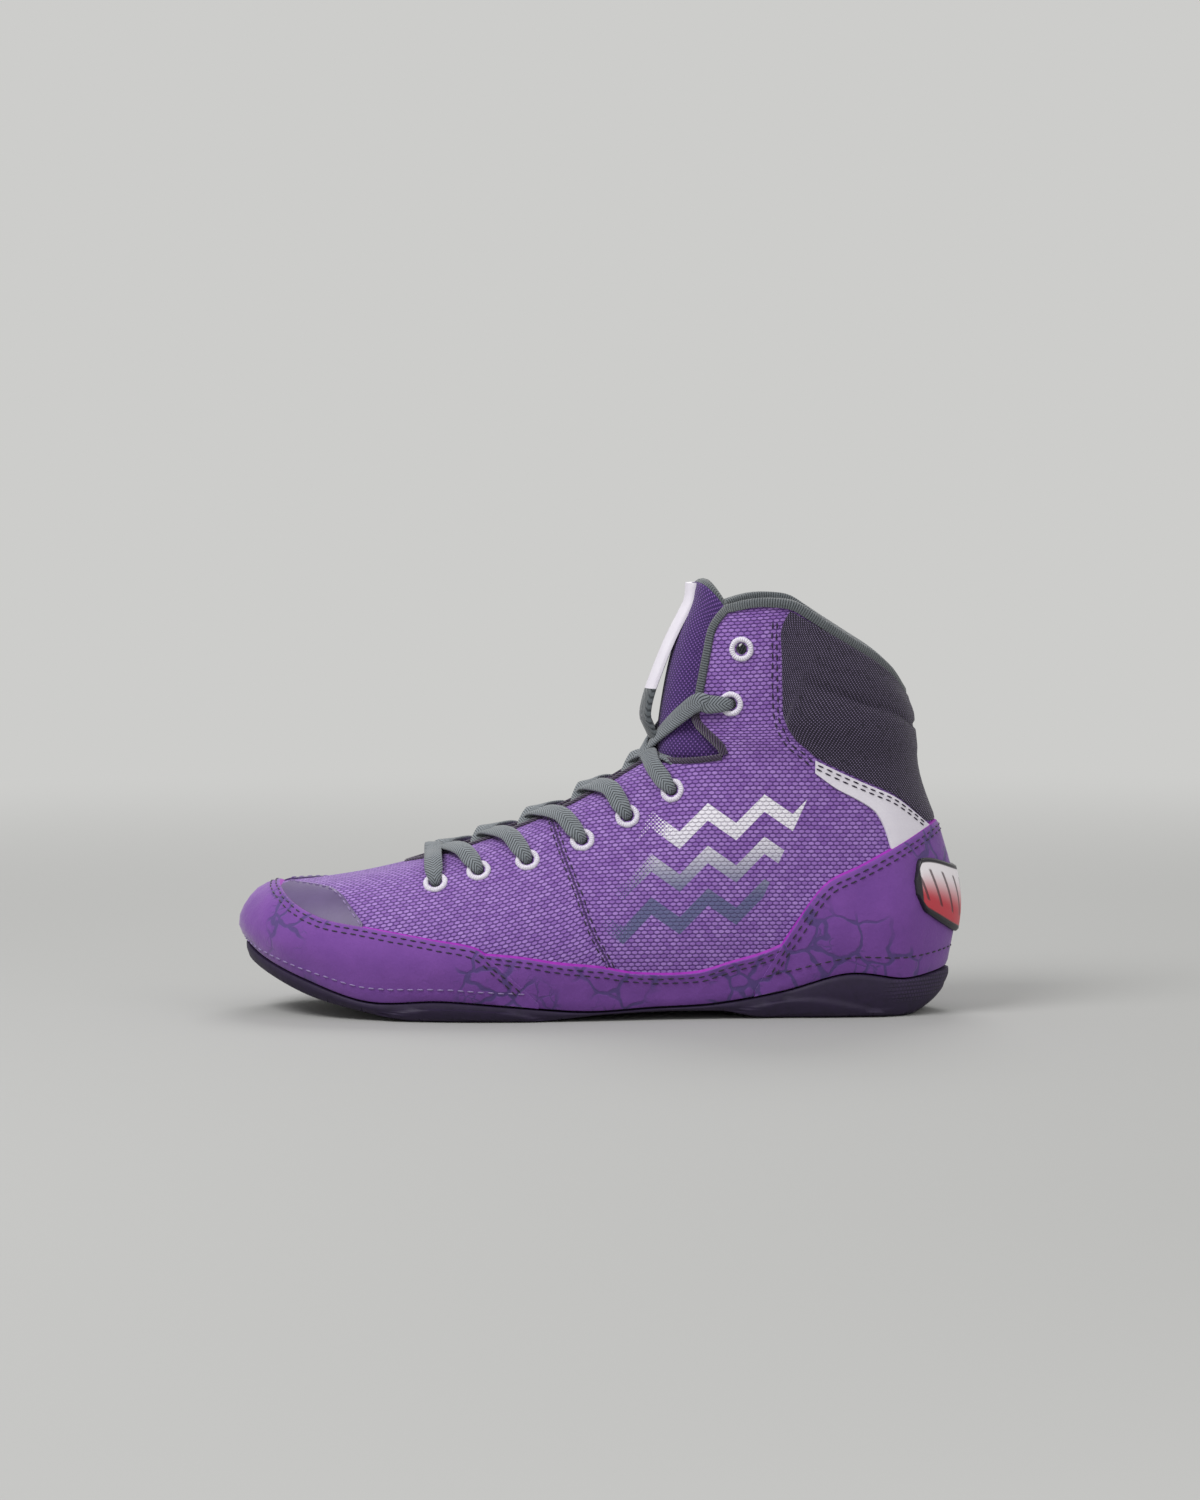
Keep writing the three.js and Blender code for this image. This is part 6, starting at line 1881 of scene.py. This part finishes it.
def stitch_rows(name, lines, thread):
    """Rows of stitches from lines of (points in millimetres, object that they lie on)."""
    points = []
    edges = []
    for path, target in lines:
        search = tree_of(target)
        first = len(points)
        for p in world(path):
            hit = search.find_nearest(Vector(p))
            points.append(hit[0] + hit[1] * STITCH_LIFT / 1000)
        edges += [(i, i + 1) for i in range(first, len(points) - 1)]
    mesh = bpy.data.meshes.new(name)
    mesh.from_pydata([tuple(p) for p in points], edges, [])
    obj = bpy.data.objects.new(name, mesh)
    bpy.context.scene.collection.objects.link(obj)
    modifier = obj.modifiers.new("stitches", "NODES")
    modifier.node_group = STITCHES
    values = {key: size / 1000 for key, size in STITCH_SIZES.items()}
    values["Thread"] = thread
    for item in STITCHES.interface.items_tree:
        if item.in_out == "INPUT" and item.name in values:
            modifier[item.identifier] = values[item.name]
    return dress(plain(obj))


# Distances of the rows from an edge are in millimetres, minus for below it
toe_ks = spans(-toe_end + 0.25, toe_end - 0.25, 0.06)
toe_us = cut_up(toe_ks, TOE_RAND_EDGE)
heel_ks = spans(counter_start + 0.2, ROUND - counter_start - 0.2, 0.06)
heel_us = cut_up(heel_ks, COUNTER_EDGE)
rows_dark = []
rows_pale = []
for distance in (-1.8, -3.9):
    rows_dark.append((aside(toe_ks, toe_us, distance), toe_rand))
    rows_dark.append((aside(heel_ks, heel_us, distance - 0.2), counter))
rows_pale.append((aside(toe_ks, np.minimum(0.07, toe_us), 0.0), toe_rand))
rows_dark.append((aside(heel_ks, np.minimum(0.07, heel_us), 0.0), counter))
seam_high = np.linspace(0.21, 0.80, 30)
seam_along = curve_of(VAMP_SEAM, "high", "along")(seam_high)
cuff_front = spline([place_on(spot["along"], spot["high"], 1) for spot in CUFF_FRONT], 8)
for side in (1, -1):
    ks = spans(side_from + 0.05, side_to - 0.05, 0.06)
    us = cut_up(ks, SIDE_RAND_EDGE)
    for distance in (-1.7, -3.6):
        rows_dark.append((aside(mirrored(ks, side), us, distance), side_rands[side]))
    seam = np.array([place_on(a, h, side) for a, h in zip(seam_along, seam_high)])
    for distance in (-1.3, 1.3):
        rows_dark.append((aside(seam[:, 0], seam[:, 1], distance, axis=0), upper))
    for distance in (2.0, 4.0):
        line = aside(mirrored(cuff_front[:, 0], side), cuff_front[:, 1], distance, axis=0)
        rows_dark.append((line, upper))
    ks = spans(stripe_from + 0.1, stripe_to - 0.15, 0.05)
    us = cut_up(ks, STRIPE_TOP)
    for distance in (-1.2, -2.8):
        rows_dark.append((aside(mirrored(ks, side), us, distance), stripes[side]))
    ks = spans(patch_from + 0.1, 1.2, 0.05)
    us = np.clip(cut_up(ks, PATCH_EDGE), 0, 0.93)
    rows_pale.append((aside(mirrored(ks, side), us, -1.2), patches[side]))
stitch_rows("stitches_dark", rows_dark, DARK_THREAD)
stitch_rows("stitches_pale", rows_pale, PALE_THREAD)


# Stage: floor, light and camera

BACKDROP = "#cdcdcb"
FLOOR_HALF = 60.0


def floor_material():
    """Plain pale paint that fades into the same even light far away, so no edge shows."""
    material, tree, shader, place = start("studio floor, painted pale", 0.9, 0.15)
    shader.inputs["Base Color"].default_value = linear("#a6a6a5")
    far = put(tree, "ShaderNodeVectorMath", place, out="Value", operation="LENGTH")
    fading = put(tree, RANGE, far, 0.45, 1.3, **SMOOTH)
    glow = put(tree, "ShaderNodeEmission", {"Color": BACKDROP, "Strength": 1.0})
    both = put(tree, "ShaderNodeMixShader", fading, shader.outputs[0], glow)
    tree.links.new(both, tree.nodes["Material Output"].inputs["Surface"])
    return material


floor_mesh = bpy.data.meshes.new("floor")
corners = [(x * FLOOR_HALF, y * FLOOR_HALF, 0) for x, y in ((-1, -1), (1, -1), (1, 1), (-1, 1))]
floor_mesh.from_pydata(corners, [], [(0, 1, 2, 3)])
floor_mesh.materials.append(floor_material())
floor = bpy.data.objects.new("floor", floor_mesh)
bpy.context.scene.collection.objects.link(floor)

sky = bpy.data.worlds.new("studio light")
sky.use_nodes = True
sky.node_tree.nodes["Background"].inputs["Color"].default_value = linear(BACKDROP)
sky.node_tree.nodes["Background"].inputs["Strength"].default_value = 1.0
bpy.context.scene.world = sky


def soft_light(name, place, width, power):
    lamp = bpy.data.lights.new(name, "AREA")
    lamp.shape = "DISK"
    lamp.size = width
    lamp.energy = power
    obj = bpy.data.objects.new(name, lamp)
    obj.location = place
    obj.rotation_euler = (SHOE_MIDDLE - Vector(place)).to_track_quat("-Z", "Y").to_euler()
    bpy.context.scene.collection.objects.link(obj)


SHOE_MIDDLE = Vector((0.09, 0.0, 0.06))
soft_light("key light", (0.85, 0.7, 1.25), 0.8, 16.0)
soft_light("fill light", (-0.9, 0.9, 0.7), 0.9, 2.5)
soft_light("rim light", (0.0, -1.0, 1.2), 0.8, 8.0)

CAMERA_AWAY = 2.0
CAMERA_RISE = math.radians(4.0)
FRAME_WIDTH = 0.474
SENSOR = 36.0
target = Vector((0.097, 0.0, 0.1029))
lens = bpy.data.cameras.new("camera")
lens.sensor_fit = "HORIZONTAL"
lens.sensor_width = SENSOR
lens.lens = SENSOR * CAMERA_AWAY / FRAME_WIDTH
camera = bpy.data.objects.new("camera", lens)
camera.location = target + Vector((0, math.cos(CAMERA_RISE), math.sin(CAMERA_RISE))) * CAMERA_AWAY
camera.rotation_euler = (target - camera.location).to_track_quat("-Z", "Y").to_euler()
bpy.context.scene.collection.objects.link(camera)
bpy.context.scene.camera = camera

bpy.context.scene.view_settings.view_transform = "Standard"

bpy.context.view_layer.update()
